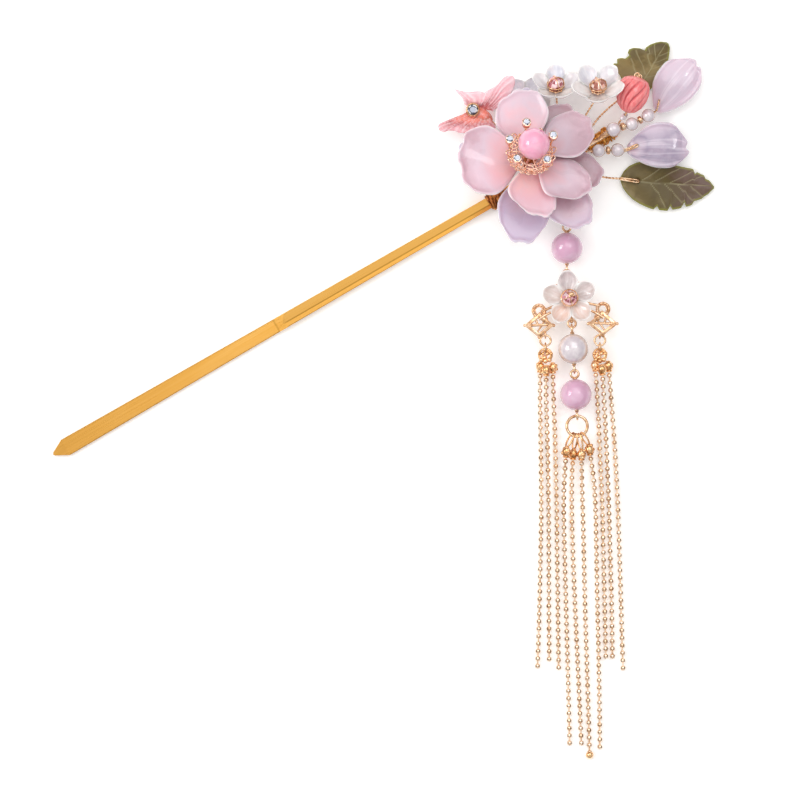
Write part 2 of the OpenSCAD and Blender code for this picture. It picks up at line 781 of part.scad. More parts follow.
module wing_lattice() {
    bar = 0.55;
    frame = [[3.5, 0], [0, 3.05], [-3.5, 0], [0, -3.05]];
    difference() {
        circle(2.15);
        circle(1.55);
    }
    translate([2.3, -1.5])
        difference() {
            circle(1.5);
            circle(0.95);
        }
    translate([-0.9, -4.2]) {
        difference() {
            polygon(frame);
            polygon(frame * 0.76);
        }
        rotate([0, 0, 20])
            square([5.4, bar], center = true);
    }
    translate([0.3, -3.2])
        rotate([0, 0, -50])
            square([4.6, bar], center = true);
    translate([3.8, -0.6])
        rotate([0, 0, 24])
            square([6.6, 0.8], center = true);
}

module drop_connector() {
    centre = flower_drop[HUB];
    prong_turns = [60, 132, 204, 276, 348];
    top_loop = lower_eye(top_bead, drop_bead_d) - [0, link_step, 0];
    bottom_loop = upper_eye(drop_pearl_at, drop_pearl_d, low_turn) + [0, link_step, 0];
    color(gold) {
        translate([centre.x, centre.y, connector_z])
            linear_extrude(height = connector_t) {
                difference() {
                    circle(3.4);
                    circle(2.4);
                }
                circle(1.2);
                for (t = prong_turns)
                    rotate([0, 0, t])
                        translate([0.8, -0.3])
                            square([5.2, 0.6]);
                translate(wing_left)
                    wing_lattice();
                translate(wing_right)
                    mirror([1, 0])
                        wing_lattice();
                translate([-0.9, 2.6])
                    square([0.8, top_loop.y - eye_r - centre.y - 2.4]);
                translate([0.6, bottom_loop.y + eye_r - 0.1 - centre.y])
                    square([0.8, centre.y - 2.6 - bottom_loop.y - eye_r]);
            }
        link([top_loop.x, top_loop.y, line_z], eye_r, eye_wire_r);
        link([bottom_loop.x, bottom_loop.y, line_z], eye_r, eye_wire_r);
        for (k = [0, 1])
            link(side_loop(k), 0.85, 0.25, true);
    }
}

// Standing loop under the left or the right wing
function side_loop(k) = [flower_drop[HUB].x + side_loops[k].x, flower_drop[HUB].y + side_loops[k].y, line_z];

// Jump rings under each end of the connector, the last one carries three strands
module side_links(k) {
    at = side_loop(k);
    ring_at = at - [0, 1.5, 0];
    lower_at = ring_at - [0, 1.75, 0];
    carrier_at = lower_at - [0, 1.95, 0];
    color(rose_gold) {
        link(ring_at, 1.35, 0.28);
        link(lower_at, 1.1, 0.25, true);
        link(carrier_at, 1.6, 0.25);
    }
}

// Tassel ring, with one jump ring for each strand of the middle
tassel_wire_r = 0.38;
tassel_r = tassel_ring_d / 2 - tassel_wire_r;
tassel_at = lower_eye(low_bead, drop_bead_d, low_turn) - [0, tassel_r + 0.15, 0];

module tassel_ring() {
    color(gold)
        link(tassel_at, tassel_r, tassel_wire_r);
}

module tassel_links() {
    // Jump ring columns: turn of its place on the tassel ring, its own turn
    places = [[-128, -118], [-102, -98], [-75, -80], [-48, -56]];
    reach = 0.5;
    color(rose_gold)
        for (p = places)
            translate(tassel_at + tassel_r * [cos(p[0]), sin(p[0]), 0] + [0, 0, -0.3])
                rotate([0, 0, p[1]])
                    translate([reach, 0, 0])
                        rotate([90, 0, 0])
                            link([0, 0, 0], 1.3, 0.22);
}

// Route of each chain strand: across, along and above the floor
chain_z = 0.8;
routes = [
    [[1.9, -46.7, 3.3], [1.8, -56, 1.5], [2.0, -66, chain_z], [2.2, -84, chain_z], [2.0, -95, chain_z],
        [1.7, -110, chain_z], [1.2, -125.0, chain_z]],
    [[3.4, -47.6, 4.4], [3.3, -56, 3.4], [3.7, -66, 2.0], [4.05, -84, chain_z], [4.1, -95, chain_z],
        [4.1, -110, chain_z], [4.2, -123.2, chain_z]],
    [[5.0, -46.9, 3.2], [5.3, -57, 1.4], [5.7, -66, chain_z], [6.1, -84, chain_z], [6.2, -95, chain_z],
        [6.4, -110, chain_z], [6.6, -125.4, chain_z]],
    [[8.6, -68.3, 4.0], [8.0, -76, 2.8], [7.8, -84, 1.8], [8.1, -95, chain_z], [8.5, -110, chain_z],
        [9.0, -127, chain_z], [9.4, -144.6, chain_z]],
    [[10.4, -68.9, 2.9], [9.9, -76, 1.5], [9.9, -84, chain_z], [10.2, -95, chain_z], [10.8, -110, chain_z],
        [11.6, -127, chain_z], [12.4, -144.6, chain_z]],
    [[12.3, -69.0, 3.9], [12.5, -77, 1.8], [12.7, -84, chain_z], [13.0, -95, chain_z], [13.3, -110, chain_z],
        [13.9, -127, chain_z], [14.5, -147.0, chain_z]],
    [[14.1, -67.8, 2.9], [15.5, -76, 1.4], [16.0, -84, chain_z], [16.2, -95, chain_z], [16.45, -110, chain_z],
        [16.9, -127, chain_z], [17.1, -145.6, chain_z]],
    [[15.7, -46.4, 3.2], [16.5, -57, 1.6], [17.0, -68, chain_z], [17.75, -84, chain_z], [17.95, -95, chain_z],
        [18.35, -110, chain_z], [18.6, -122.5, chain_z]],
    [[17.5, -47.4, 4.4], [18.1, -57, 3.3], [18.7, -68, 2.2], [19.4, -84, 1.3], [19.7, -95, chain_z],
        [20.15, -110, chain_z], [20.3, -122.5, chain_z]],
    [[19.1, -46.5, 3.2], [20.0, -57, 1.5], [20.9, -68, chain_z], [21.7, -84, chain_z], [22.05, -95, chain_z],
        [22.5, -110, chain_z], [23.0, -125.5, chain_z]]];

// Chain strand with its end cap and its last ball
module strand(i) {
    route = routes[i];
    cap_l = 2.4;
    cap_r = 1.0;
    step = 3.6;
    across = [for (p = route) [p.y, p.x]];
    above = [for (p = route) [p.y, p.z]];
    start = route[0].y;
    finish = route[len(route) - 1].y;
    rings = floor((start - cap_l - finish) / step);
    stations = concat([start, start - 0.4, start - 1.2, start - 2.0, start - cap_l],
        [for (k = [1 : rings]) start - cap_l + (finish - start + cap_l) * k / rings]);
    radii = concat([0.35, 0.8, cap_r, 0.9, chain_d / 2], [for (k = [1 : rings]) chain_d / 2]);
    color(rose_gold)
        tube([for (y = stations) [lookup(y, across), y, lookup(y, above)]], radii);
}

hair_stick();
binding_wire();
stem_wires();
flower_base();
front_petal(front_top);  // front_petal_top
front_petal(front_left);  // front_petal_left
front_petal(front_bottom);  // front_petal_bottom
front_petal(front_low_right);  // front_petal_low_right
front_petal(front_up_right);  // front_petal_up_right
back_petal(back_top);  // back_petal_top
back_petal(back_left);  // back_petal_left
back_petal(back_bottom);  // back_petal_bottom
back_petal(back_low_right);  // back_petal_low_right
back_petal(back_right);  // back_petal_right
back_petal(back_up_right);  // back_petal_up_right
stamen_cup();
stamen_stones();
centre_bead();
butterfly_wings();
butterfly_setting();
butterfly_stone();
placed_shell(flower_left);  // shell_flower_left
placed_shell(flower_middle);  // shell_flower_middle
placed_shell(flower_right);  // shell_flower_right
placed_crystal(flower_middle, 3.4);  // shell_crystal_middle
placed_crystal(flower_right, 3.6);  // shell_crystal_right
coral_bud();
leaf_upper();
leaf_lower();
lavender_petal_upper();
lavender_petal_lower();
small_pearl(0);  // pearl_1
small_pearl(1);  // pearl_2
small_pearl(2);  // pearl_3
small_pearl(3);  // pearl_4
small_pearl(4);  // pearl_5
bud_pearl();
pearl_spacers();
drop_hanger();
drop_bead_top();
drop_pins();
drop_connector();
placed_shell(flower_drop);  // shell_flower_drop
placed_crystal(flower_drop, 2.9);  // shell_crystal_drop
drop_pearl();
drop_bead_low();
side_links(0);  // side_links_left
side_links(1);  // side_links_right
tassel_ring();
tassel_links();
strand(0);  // strand_01
strand(1);  // strand_02
strand(2);  // strand_03
strand(3);  // strand_04
strand(4);  // strand_05
strand(5);  // strand_06
strand(6);  // strand_07
strand(7);  // strand_08
strand(8);  // strand_09
strand(9);  // strand_10
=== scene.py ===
"""Blossom hairpin: petals, shell flowers, beads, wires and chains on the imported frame."""

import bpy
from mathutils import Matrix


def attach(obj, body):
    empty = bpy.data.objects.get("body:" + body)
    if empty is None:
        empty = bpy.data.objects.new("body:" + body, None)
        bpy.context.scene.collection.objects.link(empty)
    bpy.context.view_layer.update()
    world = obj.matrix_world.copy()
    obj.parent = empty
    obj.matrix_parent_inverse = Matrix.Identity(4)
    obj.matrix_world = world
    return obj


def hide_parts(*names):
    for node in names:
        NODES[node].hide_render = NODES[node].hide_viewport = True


bl_info = {
    "name": "Blossom Hairpin",
    "version": (1, 0, 0),
    "blender": (4, 5, 0),
    "location": "3D View > Sidebar > Hairpin",
    "description": "Models the petals, flowers, beads, wires and chains of a hairpin",
    "category": "Object",
}

import math
import random

import bpy
from bpy.props import FloatProperty, FloatVectorProperty, IntProperty, PointerProperty
from mathutils import Euler, Matrix, Vector

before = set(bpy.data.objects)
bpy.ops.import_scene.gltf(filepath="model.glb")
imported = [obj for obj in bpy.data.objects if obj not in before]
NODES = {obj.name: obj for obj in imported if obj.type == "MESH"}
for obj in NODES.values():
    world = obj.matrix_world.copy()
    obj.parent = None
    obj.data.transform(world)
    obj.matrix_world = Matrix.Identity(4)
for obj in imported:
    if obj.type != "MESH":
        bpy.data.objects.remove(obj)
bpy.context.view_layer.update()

# Pieces are modelled in millimetres and settled into the frame in metres
MM = 0.001
STICK_TURN = math.radians(30)
LINE_Z = 4.02
# Points of a sheet nearer than this, in millimetres, are one
MERGE = 0.0006
# Along the stick from the frame's centre: end of the shaft and its step; across it: the crease
SHAFT_AT = 73.5
STEP_AT = 75.4
CREASE = 0.5


def tone(code):
    """Linear colour of a hexadecimal colour."""
    parts = [int(code[i:i + 2], 16) / 255 for i in (1, 3, 5)]
    return tuple(p / 12.92 if p <= 0.04045 else ((p + 0.055) / 1.055) ** 2.4 for p in parts)


def colour_of(name, description, code):
    return FloatVectorProperty(name=name, description=description, subtype="COLOR", size=3,
                               min=0, max=1, default=tone(code))


def length_of(name, description, millimetres, low, high):
    return FloatProperty(name=name, description=description, subtype="DISTANCE", unit="LENGTH",
                         precision=5, default=millimetres * MM, min=low * MM, max=high * MM)


def power_of(name, description, watts):
    return FloatProperty(name=name, description=description, subtype="POWER", unit="POWER",
                         default=watts, min=0, max=100)


class MetalLook(bpy.types.PropertyGroup):
    stick: colour_of("Stick", "Colour of the polished stick", "#F4B450")
    filigree: colour_of("Filigree", "Colour of the pierced gold parts", "#E8BA92")
    wire: colour_of("Wire", "Colour of the stems and pins", "#EAC29A")
    copper: colour_of("Copper", "Colour of the wound binding wire", "#B46E3C")
    chain: colour_of("Chain", "Colour of the ball chains", "#EED0B2")
    crimp: colour_of("Crimp", "Colour of the knots at the tops of the chains", "#F4BE88")


class FlowerLook(bpy.types.PropertyGroup):
    lip: length_of("Petal lip", "Height of the rolled edge of a petal", 0.3, 0, 0.6)
    warm: colour_of("Warm petal", "Colour of a front petal where it is warmest", "#FFC0BF")
    pink: colour_of("Pink petal", "Colour of a front petal at its middle", "#EFBDC6")
    pale: colour_of("Pale petal", "Colour of a front petal where it is palest", "#DFC6D2")
    smoky: colour_of("Smoky petal", "Colour of the greyish front petal", "#C8ABB6")
    back_near: colour_of("Back petal, centre", "Colour of a back petal near the cup", "#B89DA6")
    back_far: colour_of("Back petal, tip", "Colour of a back petal near its tip", "#BFB6CA")
    bead: colour_of("Centre bead", "Colour of the bead in the stamen cup", "#F7AFC9")


class SprayLook(bpy.types.PropertyGroup):
    leaf: colour_of("Leaf", "Colour of the leaves", "#574920")
    leaf_edge: colour_of("Leaf edge", "Colour of the thin edge of the leaves", "#8E8E3C")
    lavender: colour_of("Lavender petal", "Colour of the two long petals", "#C9BBC9")
    coral: colour_of("Bud", "Colour of the ribbed bud", "#F2767A")
    wing: colour_of("Wing", "Colour of the butterfly's wings", "#F2B4BE")
    shell: colour_of("Shell", "Colour of the shell flowers", "#D6C7C0")
    crystal: colour_of("Crystal", "Colour of the faceted crystals", "#F4BBA8")
    stem_wire: length_of("Stem wire", "Radius of one wire of a twisted stem", 0.16, 0.08, 0.2)


class DropLook(bpy.types.PropertyGroup):
    bead: colour_of("Drop bead", "Colour of the two mauve beads", "#D8ACC5")
    pearl: colour_of("Pearl", "Colour of the pearls", "#D8CDD3")
    ball: length_of("Chain ball", "Diameter of one ball of a chain", 1.36, 1.2, 1.55)
    pitch: length_of("Ball pitch", "Distance from ball to ball", 1.9, 1.6, 2.4)
    ball_sides: IntProperty(name="Ball sides", description="Facets round one ball of a chain",
                            default=10, min=6, max=14)


class StageLook(bpy.types.PropertyGroup):
    floor: colour_of("Floor", "Colour of the floor", "#FBFAF8")
    key_power: power_of("Key light", "Power of the light at the left", 2.85)
    top_power: power_of("Top light", "Power of the broad light overhead", 4.2)
    glint_power: power_of("Glint light", "Power of the small light at the left", 0.24)
    spark_power: power_of("Spark light", "Power of the small light at the right", 0.14)
    frame_width: length_of("Frame width", "Width of the camera's view on the floor", 203.2,
                           150, 300)


def paint(colour, factor=1.0):
    """Linear colour, times a factor, of a code, of three values or of a look ("metal.stick")."""
    if isinstance(colour, str):
        if colour.startswith("#"):
            colour = tone(colour)
        else:
            group, key = colour.split(".")
            colour = getattr(getattr(bpy.context.scene, "hairpin_" + group), key)
    return tuple(part * factor for part in colour[:3])


class Nodes:
    """Shader nodes of a material or of the world."""

    def __init__(self, owner, shader):
        owner.use_nodes = True
        self.tree = owner.node_tree
        self.shader = self.tree.nodes[shader]

    def node(self, kind, inputs=(), **options):
        made = self.tree.nodes.new("ShaderNode" + kind)
        for key, value in options.items():
            setattr(made, key, value)
        for key, value in dict(inputs).items():
            self.feed(made.inputs[key], value)
        return made

    def feed(self, socket, value):
        if isinstance(value, bpy.types.NodeSocket):
            self.tree.links.new(value, socket)
        elif socket.type == "RGBA":
            socket.default_value = (*paint(value), 1)
        else:
            socket.default_value = value

    def set(self, socket, value):
        self.feed(self.shader.inputs[socket], value)

    def ramp(self, factor, *stops):
        made = self.node("ValToRGB", {"Fac": factor})
        elements = made.color_ramp.elements
        while len(elements) < len(stops):
            elements.new(0.5)
        for element, (position, colour) in zip(elements, stops):
            element.position = position
            element.color = (*paint(colour), 1)
        return made.outputs["Color"]

    def span(self, value, low, high, out_low, out_high):
        return self.node("MapRange", {"Value": value, "From Min": low, "From Max": high,
                                      "To Min": out_low, "To Max": out_high}).outputs["Result"]

    def mix(self, factor, first, second):
        made = self.node("Mix", data_type="RGBA")
        for index, value in ((0, factor), (6, first), (7, second)):
            self.feed(made.inputs[index], value)
        return made.outputs[2]

    def maths(self, operation, *values):
        made = self.node("Math", operation=operation)
        for socket, value in zip(made.inputs, values):
            self.feed(socket, value)
        return made.outputs["Value"]

    def times(self, first, second):
        return self.maths("MULTIPLY", first, second)

    def plus(self, first, second):
        return self.maths("ADD", first, second)


class Finish(Nodes):
    """One material. Its textures are laid out in millimetres."""

    def __init__(self, name, **settings):
        self.material = bpy.data.materials.new(name)
        super().__init__(self.material, "Principled BSDF")
        for key, value in settings.items():
            self.shader.inputs[key.replace("_", " ")].default_value = value

    def mapped(self, source, scale, turn=(0, 0, 0)):
        return self.node("Mapping", {"Vector": source, "Rotation": turn, "Scale": scale},
                         vector_type="POINT").outputs["Vector"]

    def place(self, stretch=(1, 1, 1), turn=(0, 0, 0)):
        source = self.node("TexCoord").outputs["Object"]
        return self.mapped(source, [s / MM for s in stretch], turn)

    def sheet_place(self, stretch):
        source = self.node("Attribute", attribute_name="sheet").outputs["Vector"]
        return self.mapped(source, stretch)

    def noise(self, place, scale, detail=4.0, roughness=0.55, distortion=0.0):
        return self.node("TexNoise", {"Vector": place, "Scale": scale, "Detail": detail,
                                      "Roughness": roughness,
                                      "Distortion": distortion}).outputs["Fac"]

    def mark(self, name):
        """A value that the piece's own points carry."""
        return self.node("Attribute", attribute_name=name).outputs["Fac"]

    def bump(self, height, strength, depth):
        made = self.node("Bump", {"Height": height, "Strength": strength, "Distance": depth * MM})
        self.set("Normal", made.outputs["Normal"])


def stick_gold(name):
    """Gold brushed along the stick, with painted shade along the lines of its step and its crease.
    """
    f = Finish(name, Metallic=1.0, Coat_Weight=0.1, Coat_Roughness=0.1)
    lengthwise = f.place(turn=(0, 0, -STICK_TURN))
    brushed = f.noise(f.mapped(lengthwise, (0.016, 1.6, 1.6)), 1.6, 6)
    cloud = f.noise(f.mapped(lengthwise, (0.03, 0.2, 0.2)), 1.0, 3)
    rub = f.noise(f.place((0.3, 0.3, 0.3)), 3.0, 8, 0.7)
    base = f.ramp(cloud, (0.3, paint("metal.stick", 0.94)), (0.55, "metal.stick"), (0.8, "#FFC870"))
    lined = f.mix(f.span(brushed, 0.4, 0.7, 0, 0.25), base, "#FFD084")
    worn = f.mix(f.span(rub, 0.64, 0.78, 0, 0.2), lined, paint("metal.stick", 0.7))
    place = f.node("SeparateXYZ", {"Vector": lengthwise}).outputs
    from_crease = f.plus(place["Y"], CREASE)
    from_step = f.maths("ABSOLUTE", f.plus(place["X"], STEP_AT))
    shaft = f.span(place["X"], -SHAFT_AT, 1 - SHAFT_AT, 0, 1)
    # Painted shade on the lower face of the shaft and painted light on its upper face, which even
    # out how the lamps light the two faces
    below = f.times(f.span(from_crease, -0.1, 0.1, 1, 0), shaft)
    shade_on_lower_face = f.mix(f.times(below, 0.7), worn, "#E2A850")
    lit = f.mix(f.times(f.maths("SUBTRACT", shaft, below), 0.45), shade_on_lower_face, "#FFC468")
    # The blade is painted darker towards its tip
    blade = f.times(f.maths("SUBTRACT", 1.0, shaft), f.span(place["X"], -150, -76, 0.7, 0.3))
    # Painted shade: dark lines at the crease and at the step
    crease = f.times(f.span(f.maths("ABSOLUTE", from_crease), 0.08, 0.24, 1, 0), shaft)
    lines = f.maths("MAXIMUM", crease, f.span(from_step, 0.1, 0.35, 0.6, 0))
    f.set("Base Color", f.mix(f.times(lines, 0.7), f.mix(blade, lit, "#D29A48"), "#A87828"))
    f.set("Roughness", f.span(brushed, 0.2, 0.8, 0.24, 0.36))
    f.bump(brushed, 0.06, 0.04)
    return f.material


def metal(name, colour, dark, light, rough, grain):
    """Plated metal: darker in blotches, rubbed bright in others, with a cast grain."""
    f = Finish(name, Metallic=1.0)
    blotch = f.noise(f.place(), 0.7, 5, 0.6)
    fine = f.noise(f.place(), grain, 4, 0.6)
    base = f.ramp(blotch, (0.3, dark), (0.48, colour), (0.72, light))
    f.set("Base Color", f.mix(f.span(fine, 0.55, 0.8, 0, 0.4), base, paint(colour, 0.7)))
    f.set("Roughness", f.span(fine, 0.3, 0.7, rough, rough + 0.16))
    f.bump(fine, 0.18, 0.06)
    return f.material


def blended_metal(name, first, second, share, *values):
    """Metal with a colour between two."""
    return metal(name, Vector(paint(first)).lerp(Vector(paint(second)), share), *values)


def resin(name, stops, rim, veil, rough=0.24, coat=0.5, streaks=0.0):
    """Milky resin petal: soft clouds between its tints, pale streaks along it that paint both fine
    lines and streak highlights, and a painted highlight as a pale broken line at its rim with a
    band of painted shade inside it."""
    f = Finish(name, Roughness=0.3, IOR=1.42, Subsurface_Weight=0.6,
               Subsurface_Radius=(1.0, 0.68, 0.72), Subsurface_Scale=3.0 * MM,
               Coat_Weight=coat, Coat_Roughness=0.05)
    cloud = f.noise(f.place(), 0.11, 3, 0.5, 0.8)
    fine = f.noise(f.place(), 0.6, 4, 0.6, 0.4)
    tint = f.plus(f.mark("tint"), f.span(cloud, 0.3, 0.7, -0.16, 0.16))
    body = f.mix(f.span(fine, 0.5, 0.75, 0, 0.3), f.ramp(tint, *stops), veil)
    # The streaks paint both fine lines in the resin and highlights along the petal
    if streaks:
        streak = f.noise(f.sheet_place((9, 0.9, 1)), 1.0, 3, 0.5, 0.4)
        body = f.mix(f.span(streak, 0.52, 0.66, 0, streaks), body, rim)
    # Painted shade: a darker band just inside the rim
    deep = f.mix(f.span(f.mark("rim"), -1, 0, 0.22, 0), body, paint(stops[0][1], 0.72))
    # Painted highlight: a pale broken line along the rim
    broken = f.times(f.mark("rim"), f.span(fine, 0.3, 0.6, 0.5, 1.0))
    f.set("Base Color", f.mix(f.span(broken, 0, 1, 0, 1), deep, rim))
    f.set("Roughness", f.span(cloud, 0.3, 0.7, rough, rough + 0.12))
    f.bump(fine, 0.06, 0.12)
    return f.material


def wing_resin(name):
    """Pink resin with pale veins and small pale scales."""
    f = Finish(name, Roughness=0.24, Subsurface_Weight=0.4, Subsurface_Radius=(1, 0.5, 0.5),
               Subsurface_Scale=1.0 * MM, Coat_Weight=0.5, Coat_Roughness=0.1)
    vein = f.mark("vein")
    tint = f.plus(f.mark("along"), f.mark("tint"))
    cloud = f.noise(f.place(), 0.5, 5, 0.6, 0.8)
    cells = f.node("TexVoronoi", {"Vector": f.place((1.5, 1.5, 0.5)), "Scale": 1.0})
    scales = f.span(cells.outputs["Distance"], 0.15, 0.6, 1, 0)
    body = f.ramp(tint, (0.0, "#F07C66"), (0.26, "#B85054"), (0.65, "spray.wing"), (1.0, "#F0C2CB"))
    veil = f.times(f.span(cloud, 0.4, 0.7, 0, 0.4), f.span(tint, 0, 0.5, 0.1, 1))
    soft = f.mix(f.times(scales, 0.35), f.mix(veil, body, "#F6C4CB"), "#FCDCE0")
    pale = f.span(tint, 0.2, 0.7, 0.3, 0.7)
    f.set("Base Color", f.mix(f.times(vein, pale), soft, "#FCE6EA"))
    f.bump(f.plus(vein, f.times(scales, 0.5)), 0.45, 0.14)
    return f.material


def leaf_resin(name):
    """Olive resin with a thin light edge, pale veins and painted shade as a dark ring round its
    hole.
    """
    f = Finish(name, Roughness=0.4, Subsurface_Weight=0.05, IOR=1.36,
               Subsurface_Radius=(0.8, 0.8, 0.3), Subsurface_Scale=1.0 * MM,
               Coat_Weight=0.12, Coat_Roughness=0.15)
    vein = f.mark("vein")
    cloud = f.noise(f.place(), 0.22, 5, 0.6, 0.8)
    place = f.plus(f.mark("along"), f.span(cloud, 0.3, 0.7, -0.2, 0.2))
    body = f.ramp(f.span(place, -0.7, 1.1, 0, 1), (0.1, "#84744A"), (0.3, "#8E7C4E"),
                  (0.45, "#6A5A32"), (0.6, "spray.leaf"), (0.72, "#57442A"), (0.9, "#6B554C"))
    edged = f.mix(f.times(f.mark("rim"), 0.85), body, "spray.leaf_edge")
    veined = f.mix(f.times(vein, 0.55), edged, "#B4AC84")
    # Painted shade: the hole is only a dimple, painted dark
    f.set("Base Color", f.mix(f.mark("hole"), veined, "#3C3014"))
    f.set("Roughness", f.span(cloud, 0.3, 0.7, 0.32, 0.48))
    f.bump(f.maths("SUBTRACT", cloud, vein), 0.35, 0.15)
    return f.material


def coral_resin(name):
    f = Finish(name, Roughness=0.3, Subsurface_Weight=0.3, Subsurface_Radius=(1, 0.35, 0.3),
               Subsurface_Scale=1.2 * MM, Coat_Weight=0.5, Coat_Roughness=0.12)
    grain = f.noise(f.place((1, 0.3, 1)), 1.4, 5, 0.6)
    # The pale grain streaks are partly the resin's grain and partly painted highlights on the ribs
    body = f.mix(f.span(grain, 0.35, 0.7, 0, 0.6), "spray.coral", "#FFB0AC")
    # Painted shade in the grooves between the ribs
    f.set("Base Color", f.mix(f.times(f.mark("groove"), 0.9), body, "#C8404A"))
    f.bump(grain, 0.15, 0.1)
    return f.material


def shell_nacre(name):
    """Shell with growth lines, a soft sheen and a painted highlight along its rim."""
    f = Finish(name, Subsurface_Weight=0.6, Subsurface_Radius=(1, 0.95, 0.95),
               Subsurface_Scale=2.0 * MM, Coat_Weight=0.6, Coat_Roughness=0.06, IOR=1.55)
    growth = f.noise(f.sheet_place((3.0, 2.2, 1)), 1.0, 3, 0.5, 1.2)
    cloud = f.noise(f.place(), 0.3, 4, 0.6, 1.0)
    # The tint mark carries painted light and shade for the side of the flower that a petal is on
    body = f.ramp(f.mark("tint"), (0.06, "#EBC8BA"), (0.25, "spray.shell"), (0.42, "#BFB4B6"),
                  (0.6, "#FFF8F2"), (0.75, "#F2EAEA"), (0.95, "#C8CADA"))
    sheen = f.mix(f.span(cloud, 0.45, 0.7, 0, 0.45), body, "#F0DCDC")
    lit = f.mix(f.span(growth, 0.45, 0.7, 0, 0.35), sheen, "#F8F6F8")
    inner = f.mix(f.span(f.mark("along"), 0.1, 0.45, 0.25, 0.0), lit, "#DDB9A8")
    # Painted highlight along the rim
    f.set("Base Color", f.mix(f.mark("rim"), inner, "#FFFDFB"))
    f.set("Roughness", f.span(growth, 0.3, 0.7, 0.16, 0.28))
    f.bump(growth, 0.05, 0.05)
    return f.material


def glassy_bead(name, colour, light):
    """Milky glass bead with soft clouds inside."""
    f = Finish(name, Roughness=0.25, IOR=1.4, Subsurface_Weight=0.75,
               Subsurface_Radius=(1.0, 0.7, 0.85), Subsurface_Scale=2.6 * MM,
               Coat_Weight=1.0, Coat_Roughness=0.01)
    cloud = f.noise(f.place(), 0.2, 3, 0.5, 0.6)
    f.set("Base Color", f.ramp(cloud, (0.3, paint(colour, 0.97)), (0.5, colour), (0.8, light)))
    f.set("Roughness", f.span(cloud, 0.3, 0.7, 0.2, 0.32))
    return f.material


def pearl_nacre(name):
    """Pearl: warmer and darker towards its edge as seen, a painted shade, with pale clouds."""
    f = Finish(name, Roughness=0.2, Subsurface_Weight=0.2, Subsurface_Radius=(1, 0.9, 0.9),
               Subsurface_Scale=0.8 * MM, Coat_Weight=1.0, Coat_Roughness=0.02, Metallic=0.1)
    # Painted shade: by how squarely each point faces the view, the pearl grows darker and warmer
    # towards its outline
    facing = f.node("LayerWeight", {"Blend": 0.35}).outputs["Facing"]
    cloud = f.noise(f.place(), 0.6, 4, 0.6)
    painted_edge_shade = f.ramp(facing, (0.0, "drop.pearl"), (0.14, "#DACFD6"), (0.28, "#DACED6"),
                    (0.42, "#DCC4BA"), (0.6, "#B0938A"))
    f.set("Base Color", f.mix(f.span(cloud, 0.42, 0.66, 0, 0.5), painted_edge_shade, "#F8F2F1"))
    f.set("Roughness", f.span(cloud, 0.3, 0.7, 0.14, 0.24))
    f.bump(cloud, 0.05, 0.05)
    return f.material


def faceted(name, dark, middle, light, metallic):
    """Cut stone: each facet has its own brightness, a painted reflection."""
    f = Finish(name, Roughness=0.06, IOR=1.6, Metallic=metallic, Coat_Weight=0.4,
               Coat_Roughness=0.02)
    speck = f.noise(f.place(), 2.0, 3)
    base = f.ramp(f.mark("glint"), (0.05, dark), (0.3, middle), (0.65, light))
    f.set("Base Color", f.mix(f.span(speck, 0.55, 0.75, 0, 0.2), base, light))
    f.set("Roughness", f.span(speck, 0.3, 0.7, 0.04, 0.12))
    return f.material


def paper(name, colour):
    # The floor glows faintly though it is no lamp: painted light that pales the shadows on it and
    # lights the pieces from below
    f = Finish(name, Roughness=0.8, Emission_Strength=0.2)
    grain = f.noise(f.place((0.01, 0.01, 0.01)), 1.0, 3)
    f.set("Base Color", f.ramp(grain, (0.3, paint(colour, 0.99)), (0.7, colour)))
    return f.material


# Finish columns: how it is made, and the values that this takes after the name
FINISHES = {
    "polished_gold": (stick_gold,),
    "gold_filigree": (metal, "metal.filigree", "#A06C40", "#FFE6CC", 0.14, 2.6),
    "rose_gold": (metal, "#FFD8BC", "#F0B490", "#FFF4E8", 0.14, 2.6),
    "gold_wire": (metal, "metal.wire", "#AE7A50", "#FFE8CE", 0.16, 2.0),
    "copper_wire": (metal, "metal.copper", "#5A3420", "#DDA05C", 0.26, 1.6),
    "head_wire": (blended_metal, "metal.copper", "#EDA03E", 0.75, "#8A4A1C", "#FFD488", 0.2, 1.6),
    "ball_chain": (metal, "metal.chain", "#BC926C", "#FFECDA", 0.16, 1.2),
    "crimp_gold": (metal, "metal.crimp", "#9C6638", "#FFE4C0", 0.16, 1.7),
    # In each resin row the first colour after the tints is the painted highlight at the rim and on
    # the streaks
    "blush_resin": (resin, ((0.0, "flower.smoky"), (0.35, "flower.pale"), (0.65, "flower.pink"),
                            (1.0, "flower.warm")), "#FFF6F8", "#E8CBD5"),
    "grey_lavender_resin": (resin, ((0.0, "flower.back_near"), (0.45, "#C9B4BF"),
                                    (0.85, "flower.back_far")), "#F6EEF4", "#C9BCCA"),
    "lavender_resin": (resin, ((0.0, "#D2BCCB"), (0.35, "spray.lavender"), (0.65, "#9E93A8"),
                               (1.0, "#D2C2D0")), "#FAF2F8", "#CFC4D2", 0.1, 0.9, 0.26),
    "pink_resin": (wing_resin,),
    "olive_resin": (leaf_resin,),
    "coral_resin": (coral_resin,),
    "shell": (shell_nacre,),
    "pink_bead": (glassy_bead, "flower.bead", "#FBC4D6"),
    "mauve_bead": (glassy_bead, "drop.bead", "#E5C8DA"),
    "pearl": (pearl_nacre,),
    "clear_stone": (faceted, "#3E4458", "#B4BCD0", "#FFFFFF", 0.1),
    "crystal": (faceted, "#B06A5A", "spray.crystal", "#FFE6DA", 0.35),
    "pink_crystal": (faceted, "#B0606A", "#F2A6B2", "#FFE2E6", 0.35),
    "floor_paper": (paper, "stage.floor"),
}
MADE = {}


def finish(name):
    """The named finish, made at its first use."""
    if name not in MADE:
        make, *values = FINISHES[name]
        MADE[name] = make(name, *values)
    return MADE[name]


